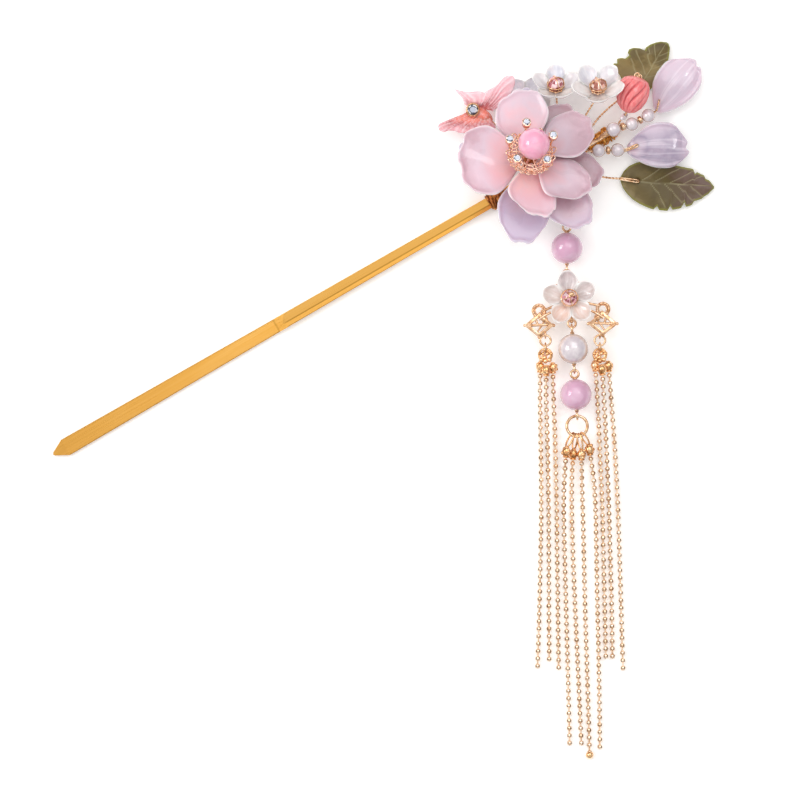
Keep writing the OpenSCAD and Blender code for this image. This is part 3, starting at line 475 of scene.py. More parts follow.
def deselect():
    active = bpy.context.view_layer.objects.active
    if active and active.mode != "OBJECT":
        bpy.ops.object.mode_set(mode="OBJECT")
    bpy.ops.object.select_all(action="DESELECT")


def pick(*pieces):
    deselect()
    for piece in pieces:
        piece.select_set(True)
    bpy.context.view_layer.objects.active = pieces[0]


def added(name):
    piece = bpy.context.object
    piece.name = piece.data.name = name
    return piece


def modify(piece, kind, **settings):
    pick(piece)
    bpy.ops.object.modifier_add(type=kind)
    modifier = piece.modifiers[-1]
    for key, value in settings.items():
        setattr(modifier, key, value)
    bpy.ops.object.modifier_apply(modifier=modifier.name)


def smooth(piece, angle=None):
    """Shades a piece smooth, or only across edges that bend less than an angle."""
    pick(piece)
    if angle is None:
        bpy.ops.object.shade_smooth()
    else:
        bpy.ops.object.shade_smooth_by_angle(angle=math.radians(angle))
    return piece


def edit_all():
    bpy.ops.object.mode_set(mode="EDIT")
    bpy.ops.mesh.select_all(action="SELECT")


def face_outwards():
    """Points all faces of the mesh in edit mode outwards, and leaves that mode."""
    bpy.ops.mesh.select_all(action="SELECT")
    bpy.ops.mesh.normals_make_consistent(inside=False)
    bpy.ops.object.mode_set(mode="OBJECT")


def join(name, parts):
    pick(*parts)
    if len(parts) > 1:
        bpy.ops.object.join()
    return added(name)


def copies(part, places, name):
    """Joins one copy of a part, each with its own mesh, at each place, and removes the part."""
    made = []
    for place in places:
        piece = part.copy()
        piece.data = part.data.copy()
        bpy.context.collection.objects.link(piece)
        made.append(shift(piece, place))
    remove(part)
    return join(name, made)


def remove(piece):
    mesh = piece.data
    bpy.data.objects.remove(piece)
    bpy.data.meshes.remove(mesh)


def turned(x=0.0, y=0.0, z=0.0):
    return Euler([math.radians(a) for a in (x, y, z)]).to_matrix().to_4x4()


def moved(*place):
    return Matrix.Translation(Vector(place))


def aimed(start, end):
    """Frame at a start point, with Z towards the end point."""
    ahead = Vector(end) - Vector(start)
    return Matrix.Translation(Vector(start)) @ ahead.to_track_quat("Z", "Y").to_matrix().to_4x4()


def shift(piece, matrix):
    """Moves a piece's mesh, with its origin at the world's."""
    piece.data.transform(matrix @ piece.matrix_basis)
    piece.matrix_basis = Matrix()
    return piece


def painted(piece, name):
    piece.data.materials.append(finish(name))
    return piece


def dress(piece, place, slot, *nodes, look=None):
    """Takes a piece modelled in millimetres to its place on the frame, in metres. Its finish has
    the slot's name, or a look's; a piece joined from painted parts keeps theirs."""
    piece.data.transform(Matrix.Scale(MM, 4) @ (place @ piece.matrix_basis))
    piece.matrix_basis = Matrix()
    piece.data.update()
    if not piece.data.materials:
        painted(piece, look or slot)
    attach(piece, "root")
    if nodes:
        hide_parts(*nodes)
    return piece


def ease(x):
    k = min(1.0, max(0.0, x))
    return k * k * (3 - 2 * k)


def lookup(x, table, column=1):
    """Value of a table's column at x, smoothed between its rows."""
    if x <= table[0][0]:
        return table[0][column]
    for low, high in zip(table, table[1:]):
        if x <= high[0]:
            k = (x - low[0]) / (high[0] - low[0])
            return low[column] + (high[column] - low[column]) * k
    return table[-1][column]


def rounded(depth, edge, thickness):
    """Thickness of a sheet near its rounded edge, edge in millimetres."""
    k = min(1.0, max(0.0, edge / depth))
    return thickness * math.sqrt(max(0.0, 1 - (1 - k) ** 2))


def near_edge(*edges):
    """Smooth least distance to any edge."""
    return sum(max(e, 1e-6) ** -3 for e in edges) ** (-1 / 3)


def sheet(name, rows, cols, skin, marks, even_rows=False, even_cols=False, levels=1, double=True):
    """Closed sheet from two grids that meet at the rim. The skin gives a point, a thickness and
    the marks, for u from 0 to 1 and v from -1 to 1."""
    deselect()
    bpy.ops.mesh.primitive_grid_add(x_subdivisions=rows, y_subdivisions=cols, size=2)
    piece = added(name)
    if double:
        edit_all()
        bpy.ops.mesh.duplicate()
        bpy.ops.mesh.flip_normals()
        bpy.ops.object.mode_set(mode="OBJECT")
    mesh = piece.data
    upper = len(mesh.vertices) // 2 if double else len(mesh.vertices)
    mesh.attributes.new("sheet", "FLOAT_VECTOR", "POINT")
    for mark in marks:
        mesh.attributes.new(mark, "FLOAT", "POINT")
    layout = mesh.attributes["sheet"]
    fields = [mesh.attributes[mark] for mark in marks]
    for index, vertex in enumerate(mesh.vertices):
        k, y = (vertex.co.x + 1) / 2, vertex.co.y
        u = k if even_rows else math.sin(k * math.pi / 2)
        v = y if even_cols else math.sin(y * math.pi / 2)
        point, thickness, *values = skin(u, v)
        side = (0.5 if index < upper else -0.5) if double else 0
        vertex.co = (point[0], point[1], point[2] + side * thickness)
        layout.data[index].vector = (v, u, side)
        for field, value in zip(fields, values):
            field.data[index].value = value
    edit_all()
    bpy.ops.mesh.remove_doubles(threshold=MERGE)
    face_outwards()
    if levels:
        modify(piece, "SUBSURF", levels=levels, render_levels=levels)
    return smooth(piece)


def drilled_bead(name, d, bore=0.5, depth=1.1, segments=40, rings=28):
    """Round bead with a rounded bore at both ends, along Z."""
    deselect()
    radius = d / 2
    bpy.ops.mesh.primitive_uv_sphere_add(segments=segments, ring_count=rings, radius=radius)
    piece = added(name)
    cut = math.sqrt(radius ** 2 - (bore + 0.12) ** 2)
    bpy.ops.object.mode_set(mode="EDIT")
    for end in (1, -1):
        bpy.ops.mesh.select_all(action="SELECT")
        bpy.ops.mesh.bisect(plane_co=(0, 0, end * cut), plane_no=(0, 0, end), clear_outer=True)
        for share, step in ((0.86, 0.06), (0.93, 0.2), (1.0, depth)):
            bpy.ops.mesh.extrude_region_move(
                TRANSFORM_OT_translate={"value": (0, 0, -end * step)})
            bpy.ops.transform.resize(value=(share, share, 1),
                                     center_override=(0, 0, end * (cut - step)))
        bpy.ops.mesh.edge_face_add()
    face_outwards()
    return smooth(piece, 60)


def ring(centre, radius, wire, standing=False, turn=0.0, fine=28, sides=10):
    """Wire ring, flat or standing along the tassel."""
    deselect()
    bpy.ops.mesh.primitive_torus_add(
        location=centre, rotation=(0, math.radians(90) if standing else 0, math.radians(turn)),
        major_radius=radius, minor_radius=wire, major_segments=fine, minor_segments=sides)
    return smooth(added("ring"))


def ball(centre, radius, segments=14, rings=9, squash=1.0):
    deselect()
    bpy.ops.mesh.primitive_uv_sphere_add(segments=segments, ring_count=rings, radius=radius,
                                         location=centre)
    piece = added("ball")
    piece.scale.z = squash
    return smooth(piece)


def bevelled(piece, width):
    modify(piece, "BEVEL", width=width, segments=2, limit_method="ANGLE")
    return smooth(piece, 40)


def around(count, first=0):
    """Turns at even steps round Z."""
    return [turned(z=first + 360 / count * k) for k in range(count)]


def cylinder(name, sides, radius, depth, rise=0.0):
    deselect()
    bpy.ops.mesh.primitive_cylinder_add(vertices=sides, radius=radius, depth=depth,
                                        location=(0, 0, rise))
    return added(name)


def smooth_path(points, cuts=2):
    """Path with its corners cut, ends kept."""
    path = [Vector(p) for p in points]
    for _ in range(cuts):
        path = ([path[0]] + [q for a, b in zip(path, path[1:])
                             for q in (a.lerp(b, 0.25), a.lerp(b, 0.75))] + [path[-1]])
    return path


def stations(path, step):
    """Points at even steps along a path."""
    lengths = [0.0]
    for a, b in zip(path, path[1:]):
        lengths.append(lengths[-1] + (b - a).length)
    count = max(2, round(lengths[-1] / step))
    made, i = [], 0
    for k in range(count + 1):
        reach = lengths[-1] * k / count
        while i < len(path) - 2 and lengths[i + 1] < reach:
            i += 1
        part = (reach - lengths[i]) / max(1e-9, lengths[i + 1] - lengths[i])
        made.append(path[i].lerp(path[i + 1], part))
    return made


def guide(name, path, taper=(1.0, 1.0)):
    """Curve along a path, with its width at the start and at the end."""
    deselect()
    bpy.ops.curve.primitive_nurbs_path_add()
    piece = added(name)
    piece.data.dimensions = "3D"
    piece.data.splines.clear()
    spline = piece.data.splines.new("POLY")
    spline.points.add(len(path) - 1)
    for index, (point, place) in enumerate(zip(spline.points, path)):
        point.co = (*place, 1)
        point.radius = taper[0] + (taper[1] - taper[0]) * index / (len(path) - 1)
    return piece


def wire(name, path, radius, sides=2, closed=False, taper=(1.0, 1.0)):
    """Round wire along a path, made a closed mesh."""
    piece = guide(name, path, taper)
    piece.data.splines[0].use_cyclic_u = closed
    piece.data.bevel_depth = radius
    piece.data.bevel_resolution = sides
    piece.data.use_fill_caps = not closed
    pick(piece)
    bpy.ops.object.convert(target="MESH")
    return smooth(added(name))


def twist(path, count, wire_radius, spread, pitch, step=0.35, start=0.0):
    """Wires wound round a path."""
    points = stations(smooth_path(path), step)
    lift = Vector((0, 0, 1))
    strands = [[] for _ in range(count)]
    for index, point in enumerate(points):
        ahead = (points[min(index + 1, len(points) - 1)] - points[max(index - 1, 0)]).normalized()
        lift = (lift - ahead * lift.dot(ahead))
        lift = lift.normalized() if lift.length > 1e-4 else ahead.orthogonal().normalized()
        side = ahead.cross(lift)
        for k in range(count):
            a = start + math.tau * (k / count + index * step / pitch)
            strands[k].append(point + spread * (math.cos(a) * lift + math.sin(a) * side))
    return [wire("strand", strand, wire_radius, 1) for strand in strands]


# Winding columns: name, finish, start and end along the stick, half width, seed, loose turns
WINDINGS = (("front_winding", "copper_wire", -13.2, -7.0, 1.59, 3, 7),
            ("head_winding", "head_wire", 16.0, 24.2, 1.36, 8, 9))
WOUND_R, WOUND_PITCH = 0.22, 0.47
WOUND_LOW, WOUND_HIGH = 0.49, 2.36
LAP_STEPS = 16


def lap(turn, half, grow):
    """Place across the stick of a wire wound round it, after a number of turns."""
    corner = 0.35
    c, s = math.cos(turn * math.tau), math.sin(turn * math.tau)
    wide, tall = half + WOUND_R + grow, (WOUND_HIGH - WOUND_LOW) / 2 + WOUND_R + grow
    flat = 1 / max(abs(c) / wide, abs(s) / tall)
    soft = 1 / math.hypot(c / (wide + corner), s / (tall + corner))
    reach = min(flat, soft)
    return reach * c, (WOUND_LOW + WOUND_HIGH) / 2 + reach * s


def winding(name, metal_name, start, end, half, seed, loose):
    """Wire wound round the flat stick, with a few loose turns crossing on top."""
    chance = random.Random(seed)
    path = []
    for index in range(int((end - start - 2 * WOUND_R) / WOUND_PITCH * LAP_STEPS) + 1):
        turn = index / LAP_STEPS
        x = start + WOUND_R + turn * WOUND_PITCH + 0.08 * math.sin(turn * 5.3)
        path.append((x, *lap(turn, half, 0.05 * math.sin(turn * 2.1 + seed))))
    parts = [wire("winding", path, WOUND_R, 1)]
    for _ in range(loose):
        middle = chance.uniform(start + 0.6, end - 2.2)
        lean = chance.uniform(0.8, 1.8) * chance.choice((-1, 1))
        first = chance.uniform(0, 1)
        path = []
        for index in range(LAP_STEPS + 6):
            y, z = lap(first + index / LAP_STEPS, half, 2 * WOUND_R)
            x = middle + lean * math.sin(math.pi * index / LAP_STEPS)
            path.append((min(end, max(start, x)), y, max(z, 0.28)))
        parts.append(wire("crossing", path, WOUND_R * 0.85, 1))
    return painted(join(name, parts), metal_name)


class HAIRPIN_OT_stick(bpy.types.Operator):
    """Finish the stick and wind its two bindings"""
    bl_idname = "hairpin.stick"
    bl_label = "Stick and bindings"

    def execute(self, context):
        for slot in NODES["hair_stick"].material_slots:
            slot.material = finish("polished_gold")
        piece = join("wound_bindings", [winding(*row) for row in WINDINGS])
        dress(piece, Matrix.Rotation(STICK_TURN, 4, "Z"), "copper_wire", "binding_wire")
        return {"FINISHED"}


BACK_HUB = moved(-0.8, 3.6, 6.8) @ turned(-8, 3)
FRONT_HUB = moved(-0.8, 5.0, 10.7) @ turned(-14, 3)
CUP_HUB = moved(-0.8, 5.9, 14.4) @ turned(-20, 3)

# Petal columns: name, turn, length, left half width, right half width, skew, lift, tip cut,
# wave, tint at the root, tint at the tip
FRONT_PETALS = (
    ("front_petal_top", 102, 17.0, 6.9, 6.8, -0.4, 0, 0.22, 0.3, 0.62, 0.36),
    ("front_petal_left", 188, 18.6, 9.0, 8.6, 0.4, 0, 0.18, 0.45, 0.9, 0.14),
    ("front_petal_bottom", 277, 16.6, 5.0, 7.4, 1.6, 0, 0.24, 0.25, 1.05, 0.52),
    ("front_petal_low_right", 323, 17.6, 5.6, 6.6, 1.4, 0, 0.30, 0.25, 0.85, 0.06),
    ("front_petal_up_right", 29, 17.6, 5.9, 6.6, 0.3, 0, 0.24, 0.35, 0.5, 0.02),
)
BACK_PETALS = (
    ("back_petal_top", 93, 18.9, 5.4, 5.6, 0, 0, 0.34, 0.3, 0.4, 0.9),
    ("back_petal_left", 171, 18.4, 6.0, 6.2, 0, 0, 0.28, 0.4, 0.3, 0.9),
    ("back_petal_bottom", 263, 21.4, 6.6, 7.1, 0, 0, 0.28, 0.4, 0.4, 1.1),
    ("back_petal_low_right", 309, 21.8, 6.3, 6.0, 0.6, 1.3, 0.24, 0.35, 0.1, 0.6),
    ("back_petal_right", 349, 18.8, 5.6, 5.8, 0, 0, 0.30, 0.3, -0.1, 0.02),
    ("back_petal_up_right", 54, 17.4, 5.6, 5.8, 0, 1.3, 0.30, 0.3, -0.1, 0.0),
)
PETAL_ROOT = 1.9
PETAL_T = 1.0


def petal_width(u):
    return 0.06 + 0.94 * math.sin(math.pi / 2 * min(1, u / 0.62)) - 0.62 * max(0, u - 0.62) ** 1.6


def petal(row, hub, slot, spiral, cone, cupping, lip):
    name, turn, length, left_w, right_w, skew, lift, tip, wave_h, root_tint, tip_tint = row
    reach = length - PETAL_ROOT

    def skin(u, v):
        half = (left_w if v > 0 else right_w) * petal_width(u)
        wave = wave_h * math.sin(math.radians(460 * v + turn)) * u ** 6
        frill = 0.16 * math.sin(math.radians(1500 * v + 3 * turn)) * u ** 12
        a = PETAL_ROOT + reach * u * (1 - tip * abs(v) ** 2.4 * u) + skew * v * u ** 3 + wave
        a += frill
        b = v * half
        r = math.hypot(a, b)
        off = math.degrees(math.atan2(b, a))
        h = (PETAL_T + 0.1 + lift + cone * max(0, r - 3) + 0.0045 * max(0, r - 6) ** 2
             - spiral * off / 72 * ease((r - 1.2) / 3)
             + cupping * v * v * ease(u / 0.7) * (1 - 0.4 * u))
        edge = near_edge((1 - abs(v)) * half, (1 - u) * reach, u * reach)
        rolled = lip * ease(1 - abs(edge - 0.5) / 1.2) * ease(u / 0.5)
        billow = 0.06 * math.sin(math.radians(200 * v + 1.7 * turn + 120 * u)) * ease(u / 0.6)
        fold = 0.03 * math.exp(-((v - 0.2 * math.sin(turn)) / 0.2) ** 2) * ease((u - 0.4) / 0.4)
        thick = rounded(0.6, edge, PETAL_T * (1 - 0.25 * max(abs(v), u) ** 4))
        # Marks the painted highlight at the rim, and below zero the band of painted shade inside it
        rim = (ease(1 - edge / 0.36) - ease(1 - abs(edge - 0.85) / 0.5)) * ease(u / 0.4)
        tint = root_tint + (tip_tint - root_tint) * ease(u / 0.9 + 0.25 * v * v - 0.1)
        shape = rolled + (billow - fold) * (1 - v * v) * (1 - u ** 4)
        return (a, b, h - PETAL_T / 2 + shape), thick, rim, tint

    piece = sheet(name + "_resin", 26, 30, skin, ("rim", "tint"))
    dress(piece, hub @ turned(z=turn), slot, name)


class HAIRPIN_OT_main_flower(bpy.types.Operator):
    """Model the front and back petals of the main flower"""
    bl_idname = "hairpin.main_flower"
    bl_label = "Main flower petals"

    def execute(self, context):
        lip = context.scene.hairpin_flower.lip / MM
        for row in FRONT_PETALS:
            petal(row, FRONT_HUB, "blush_resin", 3.0, 0.10, 0.8, lip)
        for row in BACK_PETALS:
            petal(row, BACK_HUB, "grey_lavender_resin", 0.0, 0.03, 0.3, lip * 0.8)
        for slot in NODES["flower_base"].material_slots:
            slot.material = finish("gold_filigree")
        return {"FINISHED"}


def add_glints(piece, seed):
    """Gives each facet its own brightness, a painted reflection."""
    chance = random.Random(seed)
    glint = piece.data.attributes.new("glint", "FLOAT", "FACE")
    for value, face in zip(glint.data, piece.data.polygons):
        flat = face.normal.z > 0.95
        value.value = 0.34 if flat else chance.choice((0.0, 0.0, 0.3, 1.0, 1.0))
    return piece


STONE_RISE = 0.45
# Facets of a stone: side, and the width and the depth of each step as shares of its diameter
STONE_CUTS = ((1, ((0.12, 0.13), (0.08, 0.05))), (-1, ((0.22, 0.2),)))


def cut_stone(d, sides, seed):
    """Round stone with crown and pavilion facets round a flat table."""
    piece = cylinder("stone", sides, d / 2, 0.1, STONE_RISE)
    bpy.ops.object.mode_set(mode="EDIT")
    for up, steps in STONE_CUTS:
        bpy.ops.mesh.select_all(action="DESELECT")
        bpy.ops.object.mode_set(mode="OBJECT")
        for face in piece.data.polygons:
            face.select = face.normal.z * up > 0.9
        bpy.ops.object.mode_set(mode="EDIT")
        bpy.ops.mesh.select_mode(type="FACE")
        for width, depth in steps:
            bpy.ops.mesh.inset(thickness=width * d, depth=depth * d)
    bpy.ops.object.mode_set(mode="OBJECT")
    return add_glints(piece, seed)


def prong_cup(outer, height, prongs, top_z):
    """Round cup with a seat and bent prongs for one stone."""
    piece = cylinder("cup", 24, outer, height, height / 2)
    for face in piece.data.polygons:
        face.select = face.normal.z > 0.9
    bpy.ops.object.mode_set(mode="EDIT")
    bpy.ops.mesh.inset(thickness=0.18)
    bpy.ops.mesh.extrude_region_move(TRANSFORM_OT_translate={"value": (0, 0, -height * 0.6)})
    bpy.ops.object.mode_set(mode="OBJECT")
    parts = [bevelled(piece, 0.07)]
    for k in range(prongs):
        a = math.tau * (k + 0.5) / prongs
        c, s = math.cos(a), math.sin(a)
        path = [(outer * c * q, outer * s * q, z) for q, z in
                ((0.98, height * 0.3), (1.02, height * 0.8), (1.0, top_z), (0.8, top_z + 0.16))]
        parts.append(wire("prong", smooth_path(path, 1), 0.15, 1, taper=(1.15, 0.85)))
    return join("prong_cup", parts)


STAMEN_TURNS = (103, 170, 227, 309, 22)
STAMEN_R = 5.75
STONE_H = 6.6


def stamen_cup():
    parts = [ring((0, 0, 0.35), 5.4, 0.27, fine=72), ring((0, 0, 0.42), 3.6, 0.25, fine=56),
             ring((0, 0, 0.75), 4.75, 0.17, fine=64, sides=6)]
    parts.append(bevelled(cylinder("plate", 32, 1.9, 0.6, 0.35), 0.15))
    spoke = wire("spoke", [(1.2, 0, 0.35), (3.6, 0, 0.5), (5.4, 0, 0.4)], 0.26, 1)
    parts.append(copies(spoke, around(10), "spokes"))
    grain = ball((5.42, 0, 0.72), 0.3, 8, 6)
    parts.append(copies(grain, around(30), "grains"))
    scroll = ring((4.5, 0, 0.62), 0.62, 0.2, fine=16, sides=6)
    parts.append(copies(scroll, around(10, 18), "scrolls"))
    leaflet = wire("leaflet", smooth_path([(4.9, -0.5, 0.5), (5.9, -0.9, 1.1), (6.5, 0, 1.8),
                                           (5.9, 0.9, 1.1), (4.9, 0.5, 0.5)]), 0.2, 1)
    parts.append(copies(leaflet, [turned(z=t) for t in (65, 137, 186, 204, 340, 3)], "leaflets"))
    lace = join("lace", [ring((0, 0, 0), 0.72, 0.17, fine=18, sides=6),
                         ring((0, 0, 0.1), 0.3, 0.13, fine=12, sides=6),
                         ball((0.85, 0, 0.1), 0.22, 8, 6)])
    shift(lace, moved(5.85, 0, 1.0) @ turned(y=-24))
    parts.append(copies(lace, [turned(z=t) for t in range(218, 326, 15)], "lace"))
    path = smooth_path([(5.3, 0, 0.2), (5.75, 0, 2.4), (5.55, 0, 4.2), (STAMEN_R, 0, 5.7)])
    for t in STAMEN_TURNS:
        place = turned(z=t)
        parts += [wire("arm", [place @ p for p in path], 0.34, 1, taper=(1.1, 0.85)),
                  ball(place @ Vector((5.6, 0, 4.3)), 0.5, 10, 7),
                  shift(prong_cup(1.12, 1.1, 4, 1.2), place @ moved(STAMEN_R, 0, STONE_H - 1.0))]
    return join("stamen_filigree", parts)


class HAIRPIN_OT_stamens(bpy.types.Operator):
    """Model the stamen cup, its stones and the centre bead"""
    bl_idname = "hairpin.stamens"
    bl_label = "Stamen cup and bead"

    def execute(self, context):
        dress(stamen_cup(), CUP_HUB, "gold_filigree", "stamen_cup", look="rose_gold")
        stones = [shift(cut_stone(2.0, 10, index + 11),
                        turned(z=t) @ moved(STAMEN_R, 0, STONE_H - STONE_RISE))
                  for index, t in enumerate(STAMEN_TURNS)]
        dress(join("stamen_glass", stones), CUP_HUB, "clear_stone", "stamen_stones")
        bead = drilled_bead("centre_glass", 8.0, segments=56, rings=36)
        dress(bead, CUP_HUB @ moved(0.5, 0.3, 5.1) @ turned(0, 50, 52), "pink_bead", "centre_bead")
        return {"FINISHED"}


BUTTERFLY = moved(-15.2, 17.1, 4.1)
# Wing fans: root at the start, root at the end, rise in degrees, outline points
UPPER_FAN = ((-1.2, 0.9), (4.6, -0.2), 12, (
    (-2.2, 1.3), (-2.6, 2.4), (-2.7, 3.5), (-4.0, 4.4), (-4.9, 5.4), (-3.6, 5.0), (-2.4, 4.7),
    (-0.6, 4.6), (1.7, 4.8), (2.9, 4.3), (3.8, 5.1), (5.1, 5.7), (6.5, 6.8), (7.2, 7.8),
    (8.2, 8.6), (9.4, 8.9), (10.4, 8.5), (10.7, 7.0), (10.2, 5.3), (9.4, 3.8), (8.6, 2.5),
    (7.2, 1.2), (5.9, 0.3), (5.0, -0.5)))
LOWER_FAN = ((-1.4, -0.1), (4.3, -1.0), -16, (
    (-2.6, -1.8), (-4.2, -2.4), (-5.8, -2.9), (-7.2, -3.3), (-8.6, -3.5), (-9.0, -4.4),
    (-8.6, -5.3), (-7.6, -5.8), (-6.4, -5.4), (-5.1, -5.4), (-3.8, -5.9), (-2.6, -6.1),
    (-0.8, -6.0), (0.9, -5.3), (2.4, -5.2), (4.2, -5.1), (5.9, -4.7), (5.0, -3.8),
    (4.3, -2.9), (4.4, -1.8)))


def wing(name, fan, tint):
    start, end, rise, outline = fan
    last = len(outline) - 1

    def skin(u, v):
        k = (v + 1) / 2
        place = k * last
        i = min(last - 1, int(place))
        edge_point = Vector(outline[i]).lerp(Vector(outline[i + 1]), place - i)
        root = Vector(start).lerp(Vector(end), k)
        point = root.lerp(edge_point, u)
        reach = (edge_point - root).length
        edge = near_edge((1 - u) * reach, (1 - abs(v)) * max(0.6, u * reach) * 1.6,
                         u * reach + 0.2)
        ripple = abs(math.sin(math.pi * k * 15 + 0.9 * math.sin(7 * u + 5 * k)))
        uneven = 0.3 + 0.7 * abs(math.sin(23 * k + 2 * u))
        vein = ease((ripple - 0.62) / 0.38) * ease(u / 0.3) * uneven
        thick = rounded(0.45, edge, 0.9 - 0.35 * u)
        bow = 0.35 * math.sin(math.pi * u) + 0.10 * vein
        return (point.x, point.y, -0.45 + bow), thick, u, vein, tint

    piece = sheet(name, 16, 88, skin, ("along", "vein", "tint"), even_cols=True)
    return shift(piece, turned(x=rise))


class HAIRPIN_OT_butterfly(bpy.types.Operator):
    """Model the butterfly's wings, its setting and its stone"""
    bl_idname = "hairpin.butterfly"
    bl_label = "Butterfly"

    def execute(self, context):
        body = ball((0, 0, 0), 0.95, 20, 14)
        body.scale = (3.3, 1.8, 1.3)
        body.location = (2.2, -1.3, 0.0)
        body.rotation_euler.z = math.radians(-32)
        pick(body)
        bpy.ops.object.transform_apply(location=True, rotation=True, scale=True)
        wings = join("butterfly_resin", [body, wing("upper_wing", UPPER_FAN, 0.12),
                                         wing("lower_wing", LOWER_FAN, -0.42)])
        dress(wings, BUTTERFLY, "pink_resin", "butterfly_wings")
        setting = join("butterfly_gold", [
            prong_cup(1.6, 0.95, 6, 1.2), ring((0, 0, 0.1), 1.55, 0.2, fine=32),
            copies(ball((1.68, 0, 0.62), 0.2, 8, 6), around(20), "grains")])
        dress(setting, BUTTERFLY @ moved(-0.1, 0, 0.95), "gold_filigree", "butterfly_setting")
        stone = cut_stone(2.6, 12, 5)
        dress(stone, BUTTERFLY @ moved(-0.1, 0, 1.42), "clear_stone", "butterfly_stone")
        return {"FINISHED"}


# Shell flower columns: node, hub, lean, tilt, diameter, half a petal's share of it, cone,
# start turn, tint, crystal node, crystal rise
SHELL_FLOWERS = (
    ("shell_flower_left", (-1.6, 20.0, 1.2), 0, 0, 12.6, 0.21, 6, 60, 0.72, None, 0),
    ("shell_flower_middle", (5.8, 21.4, 3.9), -42, -2, 12.6, 0.215, 28, 18, 0.76,
     "shell_crystal_middle", 3.4),
    ("shell_flower_right", (16.5, 20.8, 7.3), -40, -3, 14.2, 0.215, 28, 54, 0.75,
     "shell_crystal_right", 3.6),
    ("shell_flower_drop", (9.2, -31.0, 4.8), -6, 0, 14.5, 0.19, 14, 96, 0.25,
     "shell_crystal_drop", 2.9),
)
SHELL_T = 0.7
CRYSTAL_D = 4.0


def shell_width(u):
    return (0.1 + 0.9 * math.sin(math.pi / 2 * min(1, u / 0.7)) ** 1.2
            - 0.9 * max(0, u - 0.7) ** 1.6)


def shell_petals(name, d, half, cone, start, tints):
    """Five cupped petals cut from shell, on one root."""
    slope = math.tan(math.radians(cone))
    reach = d / 2 - 0.5
    petals = []
    for number, tint in enumerate(tints):
        def skin(u, v):
            w = half * shell_width(u)
            a = 0.5 + reach * u * (1 - 0.36 * abs(v) ** 2.3 * u)
            a -= 0.2 * math.exp(-(v / 0.2) ** 2) * u ** 10
            b = v * w
            edge = near_edge((1 - abs(v)) * w, (1 - u) * reach, u * reach + 0.3)
            bowl = 1.1 * ease(u / 0.5) * max(v * v, max(0, u - 0.55) ** 2 * 4)
            bowl -= 0.4 * math.sin(math.pi * u)
            rolled = 0.22 * ease(1 - abs(edge - 0.35) / 0.7) * ease(u / 0.3)
            z = slope * a + bowl + rolled + 0.1 * v * ease(u / 0.35)
            thick = rounded(0.4, edge, SHELL_T * 0.9)
            # Marks the painted highlight along the rim
            rim = ease(1 - edge / 0.8) * ease((u - 0.1) / 0.3)
            return (a, b, z + SHELL_T / 2), thick, u, rim, tint

        part = sheet("shell_petal", 14, 18, skin, ("along", "rim", "tint"))
        petals.append(shift(part, turned(z=start + 72 * number)))
    return join(name, petals)


def crystal_ball(d, seed):
    """Faceted crystal bead."""
    deselect()
    bpy.ops.mesh.primitive_uv_sphere_add(segments=10, ring_count=7, radius=d / 2)
    piece = added("crystal")
    modify(piece, "BEVEL", width=0.05, segments=1, limit_method="NONE")
    return add_glints(piece, seed)


def crystal_cradle(d):
    """Gold wires round a crystal, with a twisted collar at its foot."""
    r = d / 2 + 0.12
    parts = [ring((0, 0, 0), r, 0.17, fine=32, sides=6),
             ring((0, 0, -d * 0.33), r * 0.8, 0.22, fine=28, sides=6)]
    for turn in (20, 110):
        parts.append(ring((0, 0, 0), r, 0.14, True, turn, fine=32, sides=6))
    parts.append(copies(ball((r * 0.9, 0, -d * 0.3), 0.34, 8, 6), around(8), "grains"))
    return join("cradle", parts)


class HAIRPIN_OT_shell_flowers(bpy.types.Operator):
    """Carve the four shell flowers and set their crystals"""
    bl_idname = "hairpin.shell_flowers"
    bl_label = "Shell flowers"

    def execute(self, context):
        chance = random.Random(21)
        for node, hub, lean, tilt, d, broad, cone, start, tint, crystal, rise in SHELL_FLOWERS:
            # Each petal's tint follows its turn round the hub, which paints light and shade on the
            # sides of the flower; the flower's own tint and a little random tone come with it
            tints = [tint + 0.2 * math.sin(math.radians(start + 72 * k))
                     + chance.uniform(-0.04, 0.04) for k in range(5)]
            place = moved(*hub) @ turned(lean, tilt)
            piece = shell_petals(node + "_nacre", d, broad * d, cone, start, tints)
            dress(piece, place, "shell", node)
            if not crystal:
                continue
            pink = crystal != "shell_crystal_right"
            glass = painted(crystal_ball(CRYSTAL_D, len(node)),
                            "pink_crystal" if pink else "crystal")
            cradle = crystal_cradle(CRYSTAL_D)
            if crystal == "shell_crystal_drop":
                cradle = join("cradle", [cradle, ball((0.5, 0.7, 1.9), 0.75, 16, 10)])
            piece = join(crystal + "_glass", [glass, painted(cradle, "gold_filigree")])
            dress(piece, place @ moved(0, 0, rise), "crystal", crystal)
        return {"FINISHED"}


BUD_FOOT = Vector((23.9, 16.2, 6.5))
BUD_PLACE = moved(*BUD_FOOT) @ turned(4, 0, -14.5)
# Bud columns: part of the length, part of the half width
BUD_PROFILE = ((0, 0), (0.015, 0.18), (0.06, 0.46), (0.2, 0.77), (0.4, 0.97), (0.6, 1.02),
               (0.78, 0.95), (0.9, 0.76), (0.965, 0.46), (0.99, 0.22), (1, 0))


